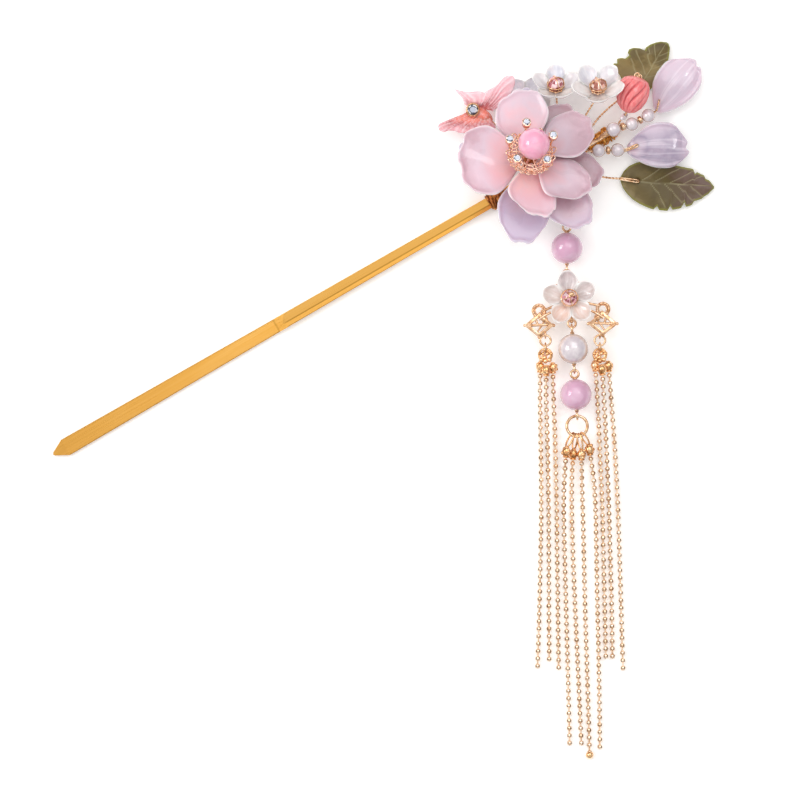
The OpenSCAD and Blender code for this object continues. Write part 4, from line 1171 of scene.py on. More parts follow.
class HAIRPIN_OT_coral_bud(bpy.types.Operator):
    """Model the ribbed bud and the knot at its tip"""
    bl_idname = "hairpin.coral_bud"
    bl_label = "Coral bud"

    def execute(self, context):
        length, width, ribs = 9.7, 8.2, 13

        def skin(u, v):
            a = 180 * v
            lag = -62 * u + 8 * math.sin(math.pi * u) + 7 * math.sin(math.radians(3 * a + 40))
            wave = abs(math.cos(math.radians(ribs * (a + lag) / 2)))
            # The groove mark also carries the painted shade in the coral finish
            groove = math.exp(-((wave / 0.4) ** 2)) * math.sin(math.pi * min(1, u + 0.04)) ** 0.5
            r = width / 2 * lookup(u, BUD_PROFILE) * (1.01 - 0.15 * groove)
            where = math.radians(a)
            return (r * math.cos(where), length * u, -r * math.sin(where)), 0, groove

        piece = sheet("coral_bud_resin", 40, 192, skin, ("groove",), even_rows=True,
                      even_cols=True, levels=0, double=False)
        dress(piece, BUD_PLACE, "coral_resin", "coral_bud")
        knot = join("bud_knot", [ring((0, 9.9, 0.1), 0.62, 0.2, fine=20),
                                 ring((0.7, 9.7, 0.2), 0.5, 0.18, fine=18),
                                 ball((0.2, 9.5, 0.1), 0.5, 12, 8)])
        dress(knot, BUD_PLACE, "gold_wire")
        return {"FINISHED"}


# Leaf edge columns: part of the length, left half width, right half width
UPPER_LEAF = ((0, 0.3, 0.3), (0.04, 2.6, 1.4), (0.08, 4.3, 2.2), (0.13, 5.6, 2.6), (0.16, 7.6, 2.8),
              (0.2, 8.6, 3.0), (0.24, 8.3, 3.1), (0.26, 7.7, 3.2), (0.32, 8.4, 3.5),
              (0.37, 7.7, 3.5), (0.4, 6.7, 3.5), (0.44, 6.5, 3.5), (0.48, 6.3, 3.4),
              (0.5, 7.0, 3.3), (0.56, 7.2, 3.3), (0.62, 6.5, 3.2), (0.67, 5.2, 3.1),
              (0.69, 3.8, 3.0), (0.74, 3.9, 2.8), (0.82, 3.4, 2.3), (0.9, 2.5, 1.7),
              (0.95, 1.7, 1.3), (1, 0.3, 0.3))
LOWER_LEAF = ((0, 0.4, 0.4), (0.03, 2.0, 2.1), (0.08, 3.4, 3.6), (0.15, 4.4, 5.0), (0.22, 4.9, 5.9),
              (0.30, 5.2, 6.6), (0.38, 5.3, 7.1), (0.415, 5.3, 6.1), (0.44, 5.2, 7.1),
              (0.53, 5.1, 7.1), (0.555, 4.9, 5.7), (0.58, 4.6, 6.7), (0.67, 4.4, 6.1),
              (0.7, 4.3, 4.4), (0.72, 4.3, 5.6), (0.76, 4.2, 5.3), (0.785, 2.9, 4.9),
              (0.80, 3.5, 4.0), (0.88, 2.8, 3.2), (0.9, 2.0, 2.6), (0.94, 1.7, 1.9), (1, 0.2, 0.2))
# Side vein columns: start along the leaf, slant, side
VEINS = ((0.22, 0.34, 1), (0.36, 0.36, 1), (0.52, 0.34, 1), (0.66, 0.3, 1), (0.3, 0.3, -1),
         (0.46, 0.34, -1), (0.6, 0.3, -1), (0.74, 0.24, -1))
# Leaf columns: node, length, edge, fold, place of the hole along it, tint, place, turn
LEAVES = (("leaf_upper", 15.6, UPPER_LEAF, 0.6, 1.8, -0.6, (25.6, 21.4, 0.25), 56),
          ("leaf_lower", 24.0, LOWER_LEAF, 0.8, 4.4, 0.0, (22.3, -0.2, 0.25), -5.5))


def leaf(node, length, edge_table, fold, hole, tint, at, turn):
    def skin(u, v):
        w = lookup(u, edge_table, 1 if v > 0 else 2)
        b = v * w
        a = length * u
        edge = near_edge((1 - abs(v)) * w, a + 0.05, length - a + 0.05)
        edge = min(edge, (1 - abs(v)) * w, a, length - a)
        vein = ease(1 - abs(b + 0.25 * math.sin(5 * u)) / (0.30 - 0.16 * u))
        vein *= ease((u - 0.14) / 0.1)
        for start, slant, side in VEINS:
            if v * side > 0:
                run = abs(v)
                course = start + slant * run - 0.08 * run * run
                line = ease(1 - abs(u - course) * length / 0.30) * ease((0.93 - run) / 0.1)
                vein = max(vein, line * 0.8)
        # The hole is only a dimple; the leaf finish paints it dark as its shade
        pierced = ease(1.6 - math.hypot(a - hole, b) / 0.5)
        z = 1.0 + fold * abs(v) * math.sin(math.radians(150 * u + 15))
        z += 0.12 * math.sin(9 * u + 4 * v)
        thick = rounded(0.5, edge, 1 - 0.3 * abs(v))
        rim = ease(1 - edge / 0.8)
        mark = u + tint + 0.1 * v
        return (a, b, z - 0.5 - 0.14 * vein - 0.25 * pierced), thick, mark, rim, vein, pierced

    marks = ("along", "rim", "vein", "hole")
    piece = sheet(node + "_resin", 110, 56, skin, marks, even_rows=True, levels=0)
    dress(piece, moved(*at) @ turned(z=turn), "olive_resin", node)


# Petal edge columns: part of the length, shares of the left and the right half width
LONG_PETAL_EDGE = (
    (0, 0.10, 0.10), (0.06, 0.3, 0.32), (0.12, 0.48, 0.5), (0.3, 0.84, 0.8), (0.4, 0.94, 0.91),
    (0.5, 0.99, 0.98), (0.66, 1, 1), (0.75, 0.98, 0.98), (0.82, 0.93, 0.93), (0.9, 0.84, 0.85),
    (0.96, 0.72, 0.75), (1, 0.6, 0.64))
# Fold columns: place across the petal, height, start along the petal
LONG_PETAL_FOLDS = ((-0.66, 0.04, 0.2), (-0.34, 0.04, 0.1), (0.04, 0.07, 0.0),
                    (0.36, 0.04, 0.1), (0.62, 0.06, 0.05), (0.76, 0.05, 0.1))
# Long petal columns: name, node, length, left half width, right half width, notch, tints of the
# middle and of the sides, place, turn
LONG_PETALS = (
    ("lavender_upper_resin", "lavender_petal_upper", 16.8, 6.3, 5.0, -0.2, (0.3, 0.05),
     (31.3, 16.6, 2.2), 51),
    ("lavender_lower_resin", "lavender_petal_lower", 16.4, 7.1, 4.7, 0.14, (0.66, 0.85),
     (23.6, 7.0, 2.5), 0),
)


def long_petal(name, node, length, left_w, right_w, notch, tints, at, turn):
    def skin(u, v):
        w = (left_w if v > 0 else right_w) * lookup(u, LONG_PETAL_EDGE, 1 if v > 0 else 2)
        dip = math.exp(-((v - notch) / 0.2) ** 2) * u ** 8
        a = length * u * (1 - 0.16 * v * v * u * u) - dip
        b = v * w
        edge = near_edge((1 - abs(v)) * w, (1 - u) * length, u * length + 0.02)
        edge = min(edge, (1 - abs(v)) * w, (1 - u) * length, u * length)
        crown = 1.5 * math.sin(math.radians(160 * u + 8)) * (1 - 0.55 * v * v) * min(1, w / 4)
        fold = 0.0
        for line, deep, start in LONG_PETAL_FOLDS:
            course = line * (1 + 0.25 * math.sin(3 * u))
            fold += deep * math.exp(-((v - course) / 0.05) ** 2) * ease((u - start) / 0.3)
        fold *= 1 - ease((u - 0.7) / 0.25)
        lip = 0.25 * ease(1 - abs(edge - 0.5)) * ease(u / 0.4)
        thick = rounded(0.5, edge, 1.0)
        tint = tints[0] * ease(0.2 + u / 0.6)
        tint += (tints[1] - tint) * ease((abs(v) - 0.35) / 0.6)
        # Marks the painted highlight at the rim, and below zero the band of painted shade inside it
        rim = ease(1 - edge / 0.4) - ease(1 - abs(edge - 0.9) / 0.5)
        return (a, b, 0.6 + crown + fold + lip), thick, rim, tint

    piece = sheet(name, 30, 52, skin, ("rim", "tint"))
    dress(piece, moved(*at) @ turned(z=turn), "lavender_resin", node)


class HAIRPIN_OT_leaves(bpy.types.Operator):
    """Model the two serrated leaves"""
    bl_idname = "hairpin.leaves"
    bl_label = "Leaves"

    def execute(self, context):
        for row in LEAVES:
            leaf(*row)
        return {"FINISHED"}


class HAIRPIN_OT_lavender_petals(bpy.types.Operator):
    """Model the two long lavender petals"""
    bl_idname = "hairpin.lavender_petals"
    bl_label = "Lavender petals"

    def execute(self, context):
        for row in LONG_PETALS:
            long_petal(*row)
        return {"FINISHED"}


PEARL_AT = [Vector(p) for p in ((20.4, 12.1, 6.0), (25.1, 13.5, 4.7), (29.3, 15.7, 4.1),
                                (16.7, 6.7, 5.0), (21.5, 6.9, 4.4))]
PEARL_SIZE = (3.7, 3.4, 3.5, 3.4, 3.5)
# Each pearl's bore lies along the line between two of them; a disc sits between each pair
PEARL_LINES = ((0, 1), (0, 2), (1, 2), (3, 4), (3, 4))
PEARL_PAIRS = ((0, 1), (1, 2), (3, 4))
BUD_PEARL_AT = Vector((22.95, 15.3, 5.65))


class HAIRPIN_OT_pearls(bpy.types.Operator):
    """Model the small pearls and the gold discs between them"""
    bl_idname = "hairpin.pearls"
    bl_label = "Small pearls"

    def execute(self, context):
        for index, (start, end) in enumerate(PEARL_LINES):
            pearl = drilled_bead(f"pearl_{index + 1}_nacre", PEARL_SIZE[index], 0.45, 0.6)
            place = aimed(PEARL_AT[start], PEARL_AT[end])
            place.translation = PEARL_AT[index]
            dress(pearl, place, "pearl", f"pearl_{index + 1}")
        tiny = join("bud_pearl_nacre", [drilled_bead("tiny", 1.7, 0.35, 0.3, 24, 16)] + [
            ball((0, side * 1.2, 0.1), 0.62, 16, 10) for side in (1, -1)])
        dress(tiny, aimed(BUD_PEARL_AT, BUD_FOOT), "pearl", "bud_pearl")
        discs = []
        for a, b in PEARL_PAIRS:
            apart = (PEARL_AT[b] - PEARL_AT[a]).length
            gap = apart - (PEARL_SIZE[a] + PEARL_SIZE[b]) / 2
            part = (PEARL_SIZE[a] / 2 + gap / 2) / apart
            place = aimed(PEARL_AT[a], PEARL_AT[b])
            place.translation = PEARL_AT[a].lerp(PEARL_AT[b], part)
            barrel = drilled_bead("barrel", 2.1, 0.35, 0.1, 24, 16)
            shift(barrel, Matrix.Diagonal((1, 1, (gap - 0.3) / 1.85, 1)))
            rims = [ring((0, 0, z), 0.86, 0.14, fine=24, sides=6)
                    for z in (-gap * 0.22, gap * 0.22)]
            discs.append(shift(join("disc", [barrel] + rims), place))
        dress(join("pearl_discs", discs), Matrix(), "gold_filigree", "pearl_spacers")
        return {"FINISHED"}


def along(s, z):
    """Point above the stick, a distance along it."""
    return Vector((s * math.cos(STICK_TURN), s * math.sin(STICK_TURN), z))


def beyond(p, q, reach):
    """Point past q on the line from p."""
    return q + (q - p).normalized() * reach


def hook(base, turn):
    """End of a stem: up to the foot of a long petal, over it and down through it."""
    c, s = math.cos(math.radians(turn)), math.sin(math.radians(turn))
    base = Vector(base)
    hole = base + Vector((2.8 * c - 1.3 * s, 2.8 * s + 1.3 * c, 0))
    before = base.lerp(hole, 0.5)
    return [before + Vector((0, 0, 2.75)), hole + Vector((0, 0, 2.9)),
            hole + Vector((0, 0, 0.4)), before - Vector((0, 0, 0.2))]


# Wires bent double, which hold the lower leaf and the lower long petal
LOOPS = (
    ((22.2, -0.1, 2.5), (24.4, -0.3, 2.5), (26.6, -0.6, 2.3), (27.2, -1.0, 1.9), (26.6, -1.3, 2.1),
     (24.4, -0.9, 2.4), (22.2, -0.5, 2.4)),
    ((22.9, 6.9, 4.4), (24.4, 7.6, 4.9), (26.1, 8.3, 5.3), (26.9, 8.2, 4.8), (26.3, 7.6, 5.1),
     (24.6, 7.0, 4.8), (23.0, 6.4, 4.3)),
)


class HAIRPIN_OT_stems(bpy.types.Operator):
    """Twist the wire stems of the spray"""
    bl_idname = "hairpin.stems"
    bl_label = "Wire stems"

    def execute(self, context):
        radius = context.scene.hairpin_spray.stem_wire / MM
        start, end = along(3.6, 3.5), along(24.6, 3.5)
        under = Vector((0, 0, 0.5))
        middle, right, left = (Vector(row[1]) for row in
                               (SHELL_FLOWERS[1], SHELL_FLOWERS[2], SHELL_FLOWERS[0]))
        upper_in = beyond(PEARL_AT[1], PEARL_AT[0], 2.3)
        upper_out = beyond(PEARL_AT[1], PEARL_AT[2], 2.4)
        lower_in = beyond(PEARL_AT[4], PEARL_AT[3], 2.2)
        lower_out = beyond(PEARL_AT[3], PEARL_AT[4], 2.4)
        branch = start.lerp
        routes = [
            [branch(end, 0.15), (5.6, 12.2, 3.6), (6.2, 18.4, 3.9), middle - under],
            [branch(end, 0.4), (12.4, 14.2, 4.6), (15.0, 18.4, 5.6), right - under],
            [branch(end, 0.5), (15.0, 13.5, 3.4), (20.4, 18.9, 2.2), (26.6, 22.9, 2.1),
             (26.6, 22.9, 0.5)],
            [branch(end, 0.3), (9.0, 2.4, 3.0), (17.5, 0, 2.3), (22.6, -0.3, 2.3),
             (26.7, -0.62, 2.3), (26.7, -0.62, 0.5)],
            [branch(end, 0.7), upper_in, PEARL_AT[0], PEARL_AT[1], PEARL_AT[2], upper_out,
             *hook(*LONG_PETALS[0][-2:])],
            [branch(end, 0.5), lower_in, PEARL_AT[3], PEARL_AT[4], lower_out,
             *hook(*LONG_PETALS[1][-2:])],
            [end, beyond(BUD_FOOT, BUD_PEARL_AT, 1.5), BUD_FOOT + Vector((0, 0, 0.1)),
             BUD_FOOT + Vector((2.45, 9.6, 0.65))],
            [branch(end, 0.02), (-6.5, 10.6, 3.6), (-12.2, 15.8, 2.9)],
            [branch(end, 0.08), (-0.5, 12.4, 1.2), left - under],
        ]
        parts = twist([start, start.lerp(end, 0.5), end], 7, 0.2, 0.36, 7.0, 0.5)
        for route in routes:
            parts += twist(route, 2, radius, 0.15, 1.7, 0.3)
        for path in LOOPS:
            parts.append(wire("loop", smooth_path(path), 0.19))
        dress(join("twisted_stems", parts), Matrix(), "gold_wire", "stem_wires")
        return {"FINISHED"}


TOP_BEAD = Vector((8.6, -18.0, LINE_Z))
DROP_PEARL = Vector((10.2, -43.6, LINE_Z))
LOW_BEAD = Vector((10.9, -55.25, LINE_Z))
LOW_TURN = math.degrees(math.atan2(LOW_BEAD.x - DROP_PEARL.x, DROP_PEARL.y - LOW_BEAD.y))
BEAD_D, DROP_PEARL_D = 8.0, 7.7
# Drop columns: node, slot, place, diameter, turn, whether the eye above stands
DROP_BEADS = (("drop_bead_top", "mauve_bead", TOP_BEAD, BEAD_D, 0.0, False),
              ("drop_pearl", "pearl", DROP_PEARL, DROP_PEARL_D, LOW_TURN, True),
              ("drop_bead_low", "mauve_bead", LOW_BEAD, BEAD_D, LOW_TURN, False))
EYE_R, EYE_WIRE, LINK_STEP = 1.0, 0.3, 1.3


def eye(at, d, turn, sign):
    """Centre of the eye above (1) or below (-1) a bead."""
    a = math.radians(turn)
    return at + sign * (d / 2 + 0.25 + EYE_R) * Vector((-math.sin(a), math.cos(a), 0))


def eye_pin(at, d, turn, upper_standing):
    half = d / 2 + 0.25
    parts = [wire("pin", [(0, half + EYE_WIRE, 0), (0, -half - EYE_WIRE, 0)], EYE_WIRE),
             ring((0, half + EYE_R, 0), EYE_R, EYE_WIRE, upper_standing),
             ring((0, -half - EYE_R, 0), EYE_R, EYE_WIRE, True)]
    for sign in (1, -1):
        for step in (0.0, 0.22):
            parts.append(shift(ring((0, 0, 0), 0.42, 0.14, fine=16, sides=6),
                               moved(0, sign * (half + 0.04 - step), 0) @ turned(x=90)))
    return shift(join("pin", parts), moved(*at) @ turned(z=turn))


class HAIRPIN_OT_drop(bpy.types.Operator):
    """Model the drop's hanger, beads, pearl and eye pins"""
    bl_idname = "hairpin.drop"
    bl_label = "Drop beads"

    def execute(self, context):
        for node, slot, at, d, turn, _ in DROP_BEADS:
            bead = drilled_bead(node + "_glass", d, segments=56, rings=36)
            dress(bead, moved(*at) @ turned(90, 0, turn), slot, node)
        pins = join("eye_pins", [eye_pin(*row[2:]) for row in DROP_BEADS])
        dress(pins, Matrix(), "gold_wire", "drop_pins")
        hang_eye = eye(TOP_BEAD, BEAD_D, 0, 1) + Vector((0, LINK_STEP, 0))
        root = Vector((4.7, 1.0, 3.4))
        bend = [root, root.lerp(hang_eye, 0.5) + Vector((0.1, 0, 0.1)),
                hang_eye + Vector((0, EYE_R, 0))]
        parts = [ring(hang_eye, EYE_R, EYE_WIRE, True), ball(root, 0.6)]
        parts += twist(bend, 2, 0.2, 0.17, 2.0, 0.3)
        dress(join("drop_wire", parts), Matrix(), "gold_wire", "drop_hanger")
        return {"FINISHED"}


FLOWER_DROP = Vector((9.2, -31.0, 4.8))
SIDE_LOOPS = ((-6.05, -9.0), (7.8, -8.95))


def bar(start, end, radius):
    return wire("bar", [(*start, 0), (*end, 0)], radius)


def wing_lattice():
    """One cast wing: an arch over a diamond frame, with a cross bar, a scroll and grains."""
    parts = [ring((0, 0, 0), 1.5, 0.4, fine=36),
             ring((0.05, 0.05, 0.3), 1.0, 0.15, fine=24, sides=6),
             ring((1.45, -2.1, 0.1), 0.62, 0.26, fine=20, sides=8)]
    diamond = cylinder("diamond", 4, 1, 0.9)
    for face in diamond.data.polygons:
        face.select = abs(face.normal.z) > 0.9
    bpy.ops.object.mode_set(mode="EDIT")
    bpy.ops.mesh.select_mode(type="FACE")
    bpy.ops.mesh.inset(thickness=0.28)
    bpy.ops.mesh.bridge_edge_loops()
    face_outwards()
    shift(diamond, moved(0.05, -3.7, 0) @ Matrix.Diagonal((3.9, 3.15, 1, 1)))
    parts.append(bevelled(diamond, 0.2))
    for x, y in ((-3.85, 0), (0, -3.2), (3.95, 0), (0.2, 3.1)):
        parts.append(ball((0.05 + 0.94 * x, -3.7 + 0.94 * y, 0), 0.46, 12, 8))
    parts += [bar((-3.7, -3.75), (3.7, -3.5), 0.34), bar((-1.2, -0.9), (-0.3, -3.6), 0.32),
              bar((-0.4, -5.4), (1.4, -2.7), 0.26)]
    parts.append(copies(ball((1.5, 0, 0.42), 0.2, 8, 6), around(12), "grains"))
    parts.append(wire("spine", [(-0.1, -2.2, 0.35), (1.4, -1.2, 0.4), (3.0, -0.4, 0.2)], 0.46,
                      taper=(1.0, 0.7)))
    return join("lattice", parts)


# Prong columns of the connector: turn, reach
PRONGS = ((60, 4.6), (132, 4.6), (204, 7.4), (276, 5.6), (348, 7.6))


class HAIRPIN_OT_connector(bpy.types.Operator):
    """Model the pierced connector behind the drop's shell flower"""
    bl_idname = "hairpin.connector"
    bl_label = "Connector"

    def execute(self, context):
        base = moved(FLOWER_DROP.x, FLOWER_DROP.y, LINE_Z)
        left = shift(wing_lattice(), base @ moved(-7.7, -2.95, 0))
        mirrored = Matrix.Diagonal((-1, 1, 1, 1))
        right = shift(wing_lattice(), base @ moved(8.6, -2.5, 0) @ mirrored)
        pick(right)
        edit_all()
        face_outwards()
        plate = [ring((0, 0, 0), 2.9, 0.45, fine=40), ball((0, 0, 0), 1.2, 20, 12, 0.4)]
        for turn, reach in PRONGS:
            arm = wire("prong", [(0.8, 0, 0), (3.2, 0, 0.25), (reach, 0, 0.1)], 0.36,
                       taper=(0.8, 1.0))
            knob = ball((reach + 0.1, 0, 0.1), 0.46, 12, 8)
            plate += [shift(arm, turned(z=turn)), shift(knob, turned(z=turn))]
        top = eye(TOP_BEAD, BEAD_D, 0, -1) - Vector((0, LINK_STEP, 0))
        bottom = eye(DROP_PEARL, DROP_PEARL_D, LOW_TURN, 1) + Vector((0, LINK_STEP, 0))
        rel = Vector((FLOWER_DROP.x, FLOWER_DROP.y, LINE_Z))
        t, b = top - rel, bottom - rel
        plate += [bar((-0.5, 2.6), (t.x, t.y - EYE_R), 0.38),
                  bar((1.0, -2.6), (b.x, b.y + EYE_R), 0.38),
                  ring(t, EYE_R, EYE_WIRE), ring(b, EYE_R, EYE_WIRE)]
        for x, y in SIDE_LOOPS:
            plate.append(ring((x, y, 0), 0.85, 0.25, True, fine=20))
        piece = join("connector_gold", [shift(join("plate", plate), base), left, right])
        dress(piece, Matrix(), "gold_filigree", "drop_connector")
        return {"FINISHED"}


TASSEL_WIRE = 0.38
TASSEL_R = 3.0 - TASSEL_WIRE
TASSEL_AT = eye(LOW_BEAD, BEAD_D, LOW_TURN, -1) - Vector((0, TASSEL_R + 0.15, 0))
# Tops of the four strands that the oval loops carry
TASSEL_ENDS = ((8.6, -68.3, 4.0), (10.4, -68.9, 2.9), (12.3, -69.0, 3.9), (14.1, -67.8, 2.9))
# Knots on the ring that carries three strands: turn, reach, radius
KNOTS = ((-130, 1.6, 0.6), (-90, 1.5, 0.66), (-50, 1.6, 0.6), (15, 1.5, 0.5), (165, 1.5, 0.5),
         (90, 1.5, 0.62), (-100, 0.6, 0.6), (40, 0.6, 0.55), (150, 0.7, 0.5))


class HAIRPIN_OT_links(bpy.types.Operator):
    """Model the jump rings and the tassel ring"""
    bl_idname = "hairpin.links"
    bl_label = "Jump rings"

    def execute(self, context):
        for side, (x, y) in zip(("left", "right"), SIDE_LOOPS):
            at = Vector((FLOWER_DROP.x + x, FLOWER_DROP.y + y, LINE_Z))
            links = join("links", [ring(at - Vector((0, 1.5, 0)), 1.35, 0.28),
                                   ring(at - Vector((0, 3.25, 0)), 1.1, 0.25, True)])
            hub = at - Vector((0, 5.2, 0))
            carrier = [ring(hub, 1.6, 0.3), ring(hub + Vector((0.2, 0, 0.3)), 1.1, 0.24)]
            for place, reach, size in KNOTS:
                a = math.radians(place)
                spot = hub + reach * Vector((math.cos(a), math.sin(a), 0)) + Vector((0, 0, 0.2))
                carrier.append(ball(spot, size, 12, 8))
            piece = join(f"side_rings_{side}", [painted(links, "gold_wire"),
                                                painted(join("carrier", carrier), "crimp_gold")])
            dress(piece, Matrix(), "gold_wire", f"side_links_{side}")
        big = ring(TASSEL_AT, TASSEL_R, TASSEL_WIRE, fine=56, sides=14)
        dress(join("tassel_hoop", [big]), Matrix(), "gold_wire", "tassel_ring")
        small = []
        for far in TASSEL_ENDS:
            far = Vector(far)
            ahead = (far - TASSEL_AT).normalized()
            near = TASSEL_AT + 1.9 * Vector((ahead.x, ahead.y, 0)).normalized()
            far += 0.25 * ahead
            side = Vector((-ahead.y, ahead.x, 0)).normalized()
            half = 0.95 * (0.55 * side + 0.83 * Vector((0, 0, 1)))
            path = [near.lerp(far, 0.5) + math.cos(t) * (far - near) / 2 + math.sin(t) * half
                    for t in [math.tau * k / 28 for k in range(28)]]
            small.append(wire("loop", path, 0.23, closed=True))
        dress(join("tassel_rings", small), Matrix(), "gold_wire", "tassel_links",
              look="crimp_gold")
        return {"FINISHED"}


CHAIN_Z = 0.8
# Route of each strand: across, along and above the floor, where that isn't CHAIN_Z
STRANDS = (
    ((1.9, -46.7, 3.3), (1.8, -56, 1.5), (2.0, -66), (2.2, -84),
     (2.0, -95), (1.7, -110), (1.2, -125.0)),
    ((3.4, -47.6, 4.4), (3.3, -56, 3.4), (3.7, -66, 2.0), (4.05, -84),
     (4.1, -95), (4.1, -110), (4.2, -123.2)),
    ((5.0, -46.9, 3.2), (5.3, -57, 1.4), (5.7, -66), (6.1, -84),
     (6.2, -95), (6.4, -110), (6.6, -125.4)),
    ((8.6, -68.3, 4.0), (8.0, -76, 2.8), (7.8, -84, 1.8), (8.1, -95),
     (8.5, -110), (9.0, -127), (9.4, -144.6)),
    ((10.4, -68.9, 2.9), (9.9, -76, 1.5), (9.9, -84), (10.2, -95),
     (10.8, -110), (11.6, -127), (12.4, -144.6)),
    ((12.3, -69.0, 3.9), (12.5, -77, 1.8), (12.7, -84), (13.0, -95),
     (13.3, -110), (13.9, -127), (14.5, -147.0)),
    ((14.1, -67.8, 2.9), (15.5, -76, 1.4), (16.0, -84), (16.2, -95),
     (16.45, -110), (16.9, -127), (17.1, -145.6)),
    ((15.7, -46.4, 3.2), (16.5, -57, 1.6), (17.0, -68), (17.75, -84),
     (17.95, -95), (18.35, -110), (18.6, -122.5)),
    ((17.5, -47.4, 4.4), (18.1, -57, 3.3), (18.7, -68, 2.2), (19.4, -84, 1.3),
     (19.7, -95), (20.15, -110), (20.3, -122.5)),
    ((19.1, -46.5, 3.2), (20.0, -57, 1.5), (20.9, -68), (21.7, -84),
     (22.05, -95), (22.5, -110), (23.0, -125.5)),
)
CAP_L, CAP_OVERLAP = 3.0, 0.3
# Index of the strand that ends in a ball
BALL_STRAND = 5


def end_cap(path, seed):
    """Clasp at the top of a strand: a dented knuckle, small lumps, a collar and a crimp."""
    chance = random.Random(seed)
    start, end = path[0], path[0] + (path[1] - path[0]).normalized() * CAP_L
    parts = [ball((0, 0, 1.5), 1.1, 16, 11, 1.2), ring((0, 0, 0.3), 0.45, 0.17, fine=16, sides=8),
             ring((0, 0, 1.4), 1.05, 0.15, fine=24, sides=6),
             ring((0, 0, 2.75), 0.62, 0.24, fine=20, sides=6),
             shift(ring((0, 0, 0), 1.05, 0.14, fine=24, sides=6),
                   moved(0, 0, 1.45) @ turned(90, 0, chance.uniform(0, 180)))]
    for _ in range(6):
        a, z = chance.uniform(0, math.tau), chance.uniform(0.5, 2.5)
        reach = 0.95 * math.sqrt(max(0.1, 1 - ((z - 1.5) / 1.4) ** 2))
        parts.append(ball((reach * math.cos(a), reach * math.sin(a), z),
                          chance.uniform(0.3, 0.5), 10, 7))
    return painted(shift(join("cap", parts), aimed(start, end)), "crimp_gold")


def ball_chain(name, route, look, end_ball):
    """Ball chain: one ball and its link, repeated along the strand's route."""
    pitch, radius = look.pitch / MM, look.ball / MM / 2
    path = stations(smooth_path([(*p, CHAIN_Z)[:3] for p in route], 3), 0.9)
    cap = end_cap(path, name)
    first = CAP_L - CAP_OVERLAP
    total = sum((b - a).length for a, b in zip(path, path[1:]))
    count = round((total - first) / pitch)
    pitch = (total - first) / count
    deselect()
    bpy.ops.mesh.primitive_uv_sphere_add(segments=look.ball_sides, ring_count=6, radius=radius,
                                         rotation=(0, math.radians(90), 0))
    unit = added("unit")
    unit.location.x = first + pitch - radius
    bpy.ops.object.transform_apply(location=True, rotation=True, scale=True)
    bpy.ops.mesh.primitive_cylinder_add(vertices=6, radius=0.24, depth=pitch,
                                        rotation=(0, math.radians(90), 0), end_fill_type="NOTHING",
                                        location=(first + pitch / 2 - radius, 0, 0))
    unit = join("unit", [unit, added("link")])
    course = guide("course", path)
    modify(unit, "ARRAY", count=count, use_relative_offset=False, use_constant_offset=True,
           constant_offset_displace=(pitch, 0, 0))
    modify(unit, "CURVE", object=course, deform_axis="POS_X")
    bpy.data.objects.remove(course)
    parts = [painted(smooth(unit, 20), "ball_chain"), cap]
    if end_ball:
        last = ball(path[-1] + Vector((0, 0, 0.2)), 1.0, 16, 10)
        parts.append(painted(last, "crimp_gold"))
    return join(name, parts)


class HAIRPIN_OT_strands(bpy.types.Operator):
    """Lay the ten ball chains of the tassel"""
    bl_idname = "hairpin.strands"
    bl_label = "Chain strands"

    def execute(self, context):
        look = context.scene.hairpin_drop
        for index, route in enumerate(STRANDS):
            piece = ball_chain(f"chain_{index + 1:02}", route, look, index == BALL_STRAND)
            dress(piece, Matrix(), "ball_chain", f"strand_{index + 1:02}")
        return {"FINISHED"}


VIEW_AT = Vector((-33.8, -56.6, 5.0))
LENS, SENSOR = 300.0, 36.0
# Side of the floor in metres, and its depth below the pieces in millimetres
FLOOR_SIZE, FLOOR_GAP = 6, 0.02
# Light columns: name, its power in the stage's look, place, target, size, colour
LIGHTS = (
    ("key_light", "key_power", (-700, 60, 620), (0, 0, 0), 420, (1, 0.98, 0.96)),
    ("glint_light", "glint_power", (-680, 20, 640), (0, 0, 0), 70, (1, 1, 1)),
    ("top_light", "top_power", (150, 500, 1100), (-30, -60, 0), 900, (1, 1, 1)),
    ("spark_light", "spark_power", (360, 150, 760), (0, 0, 0), 80, (1, 1, 1)),
)
# Sky columns: height from the horizon below to the zenith, brightness
SKY = ((0.0, 0.2), (0.28, 0.32), (0.55, 0.95), (1.0, 1.08))


def area_light(name, power, place, target, size, colour):
    deselect()
    bpy.ops.object.light_add(type="AREA", location=Vector(place) * MM)
    lamp = bpy.context.object
    lamp.name = name
    lamp.data.energy = power
    lamp.data.color = colour
    lamp.data.size = size * MM
    aim = (Vector(target) - Vector(place)).to_track_quat("-Z", "Y")
    lamp.rotation_euler = aim.to_euler()


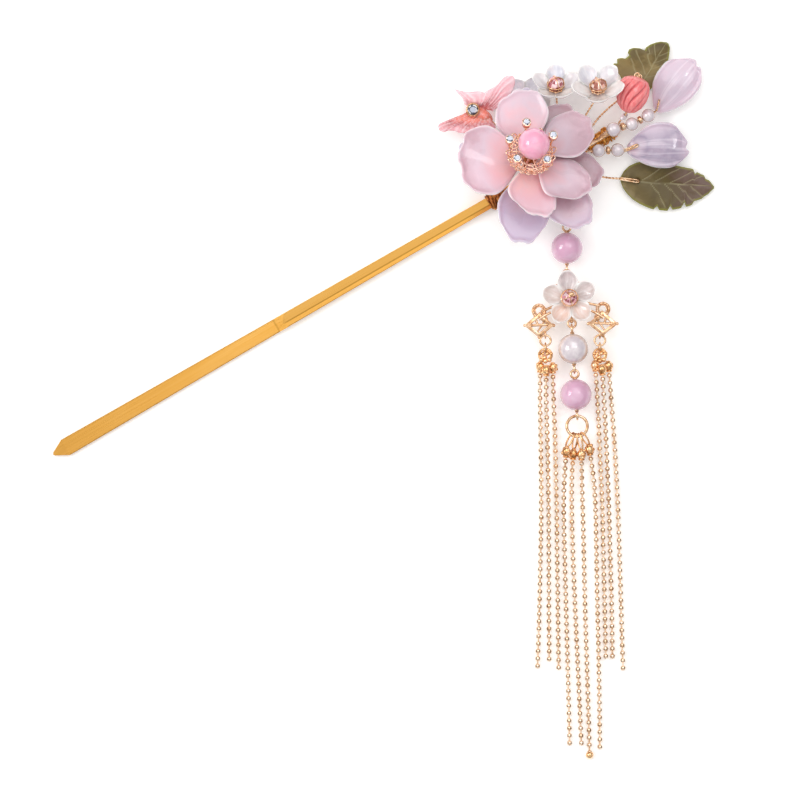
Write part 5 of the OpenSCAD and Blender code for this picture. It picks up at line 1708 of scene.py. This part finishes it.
class HAIRPIN_OT_stage(bpy.types.Operator):
    """Lay the floor and set the light and the camera"""
    bl_idname = "hairpin.stage"
    bl_label = "Floor, light and camera"

    def execute(self, context):
        look = context.scene.hairpin_stage
        deselect()
        bpy.ops.mesh.primitive_plane_add(size=FLOOR_SIZE, location=(0, 0, -FLOOR_GAP * MM))
        floor = added("floor")
        painted(floor, "floor_paper")
        for name, power, *row in LIGHTS:
            area_light(name, getattr(look, power), *row)
        world = bpy.data.worlds.new("studio")
        context.scene.world = world
        sky = Nodes(world, "Background")
        coords = sky.node("TexCoord").outputs["Generated"]
        height = sky.node("SeparateXYZ", {"Vector": coords}).outputs["Z"]
        sky.set("Color", sky.ramp(height, *((at, (value,) * 3) for at, value in SKY)))
        sky.set("Strength", 0.78)
        distance = look.frame_width * LENS / SENSOR
        bpy.ops.object.camera_add(location=VIEW_AT * MM + Vector((0, 0, distance)),
                                  rotation=(0, 0, 0))
        camera = bpy.context.object
        camera.name = "camera"
        camera.data.lens = LENS
        camera.data.sensor_width = SENSOR
        context.scene.camera = camera
        context.scene.view_settings.view_transform = "Standard"
        return {"FINISHED"}


class HAIRPIN_PT_panel(bpy.types.Panel):
    """Pieces of the hairpin, in the order in which they are made"""
    bl_idname = "HAIRPIN_PT_panel"
    bl_label = "Blossom Hairpin"
    bl_space_type = "VIEW_3D"
    bl_region_type = "UI"
    bl_category = "Hairpin"

    def draw(self, context):
        for name in LOOKS:
            look = getattr(context.scene, name)
            box = self.layout.box()
            for key in look.__annotations__:
                box.prop(look, key)
        for operator in PIECES:
            self.layout.operator(operator.bl_idname)


LOOKS = {"hairpin_metal": MetalLook, "hairpin_flower": FlowerLook, "hairpin_spray": SprayLook,
         "hairpin_drop": DropLook, "hairpin_stage": StageLook}
PIECES = (HAIRPIN_OT_stage, HAIRPIN_OT_stick, HAIRPIN_OT_main_flower, HAIRPIN_OT_stamens,
          HAIRPIN_OT_butterfly, HAIRPIN_OT_shell_flowers, HAIRPIN_OT_coral_bud, HAIRPIN_OT_leaves,
          HAIRPIN_OT_lavender_petals, HAIRPIN_OT_pearls, HAIRPIN_OT_stems, HAIRPIN_OT_drop,
          HAIRPIN_OT_connector, HAIRPIN_OT_links, HAIRPIN_OT_strands)
CLASSES = (*LOOKS.values(), *PIECES, HAIRPIN_PT_panel)


def register():
    for each in CLASSES:
        bpy.utils.register_class(each)
    for name, look in LOOKS.items():
        setattr(bpy.types.Scene, name, PointerProperty(type=look))


def unregister():
    for name in LOOKS:
        delattr(bpy.types.Scene, name)
    for each in reversed(CLASSES):
        bpy.utils.unregister_class(each)


def main():
    register()
    for operator in PIECES:
        group, name = operator.bl_idname.split(".")
        getattr(getattr(bpy.ops, group), name)()


if __name__ == "__main__":
    main()
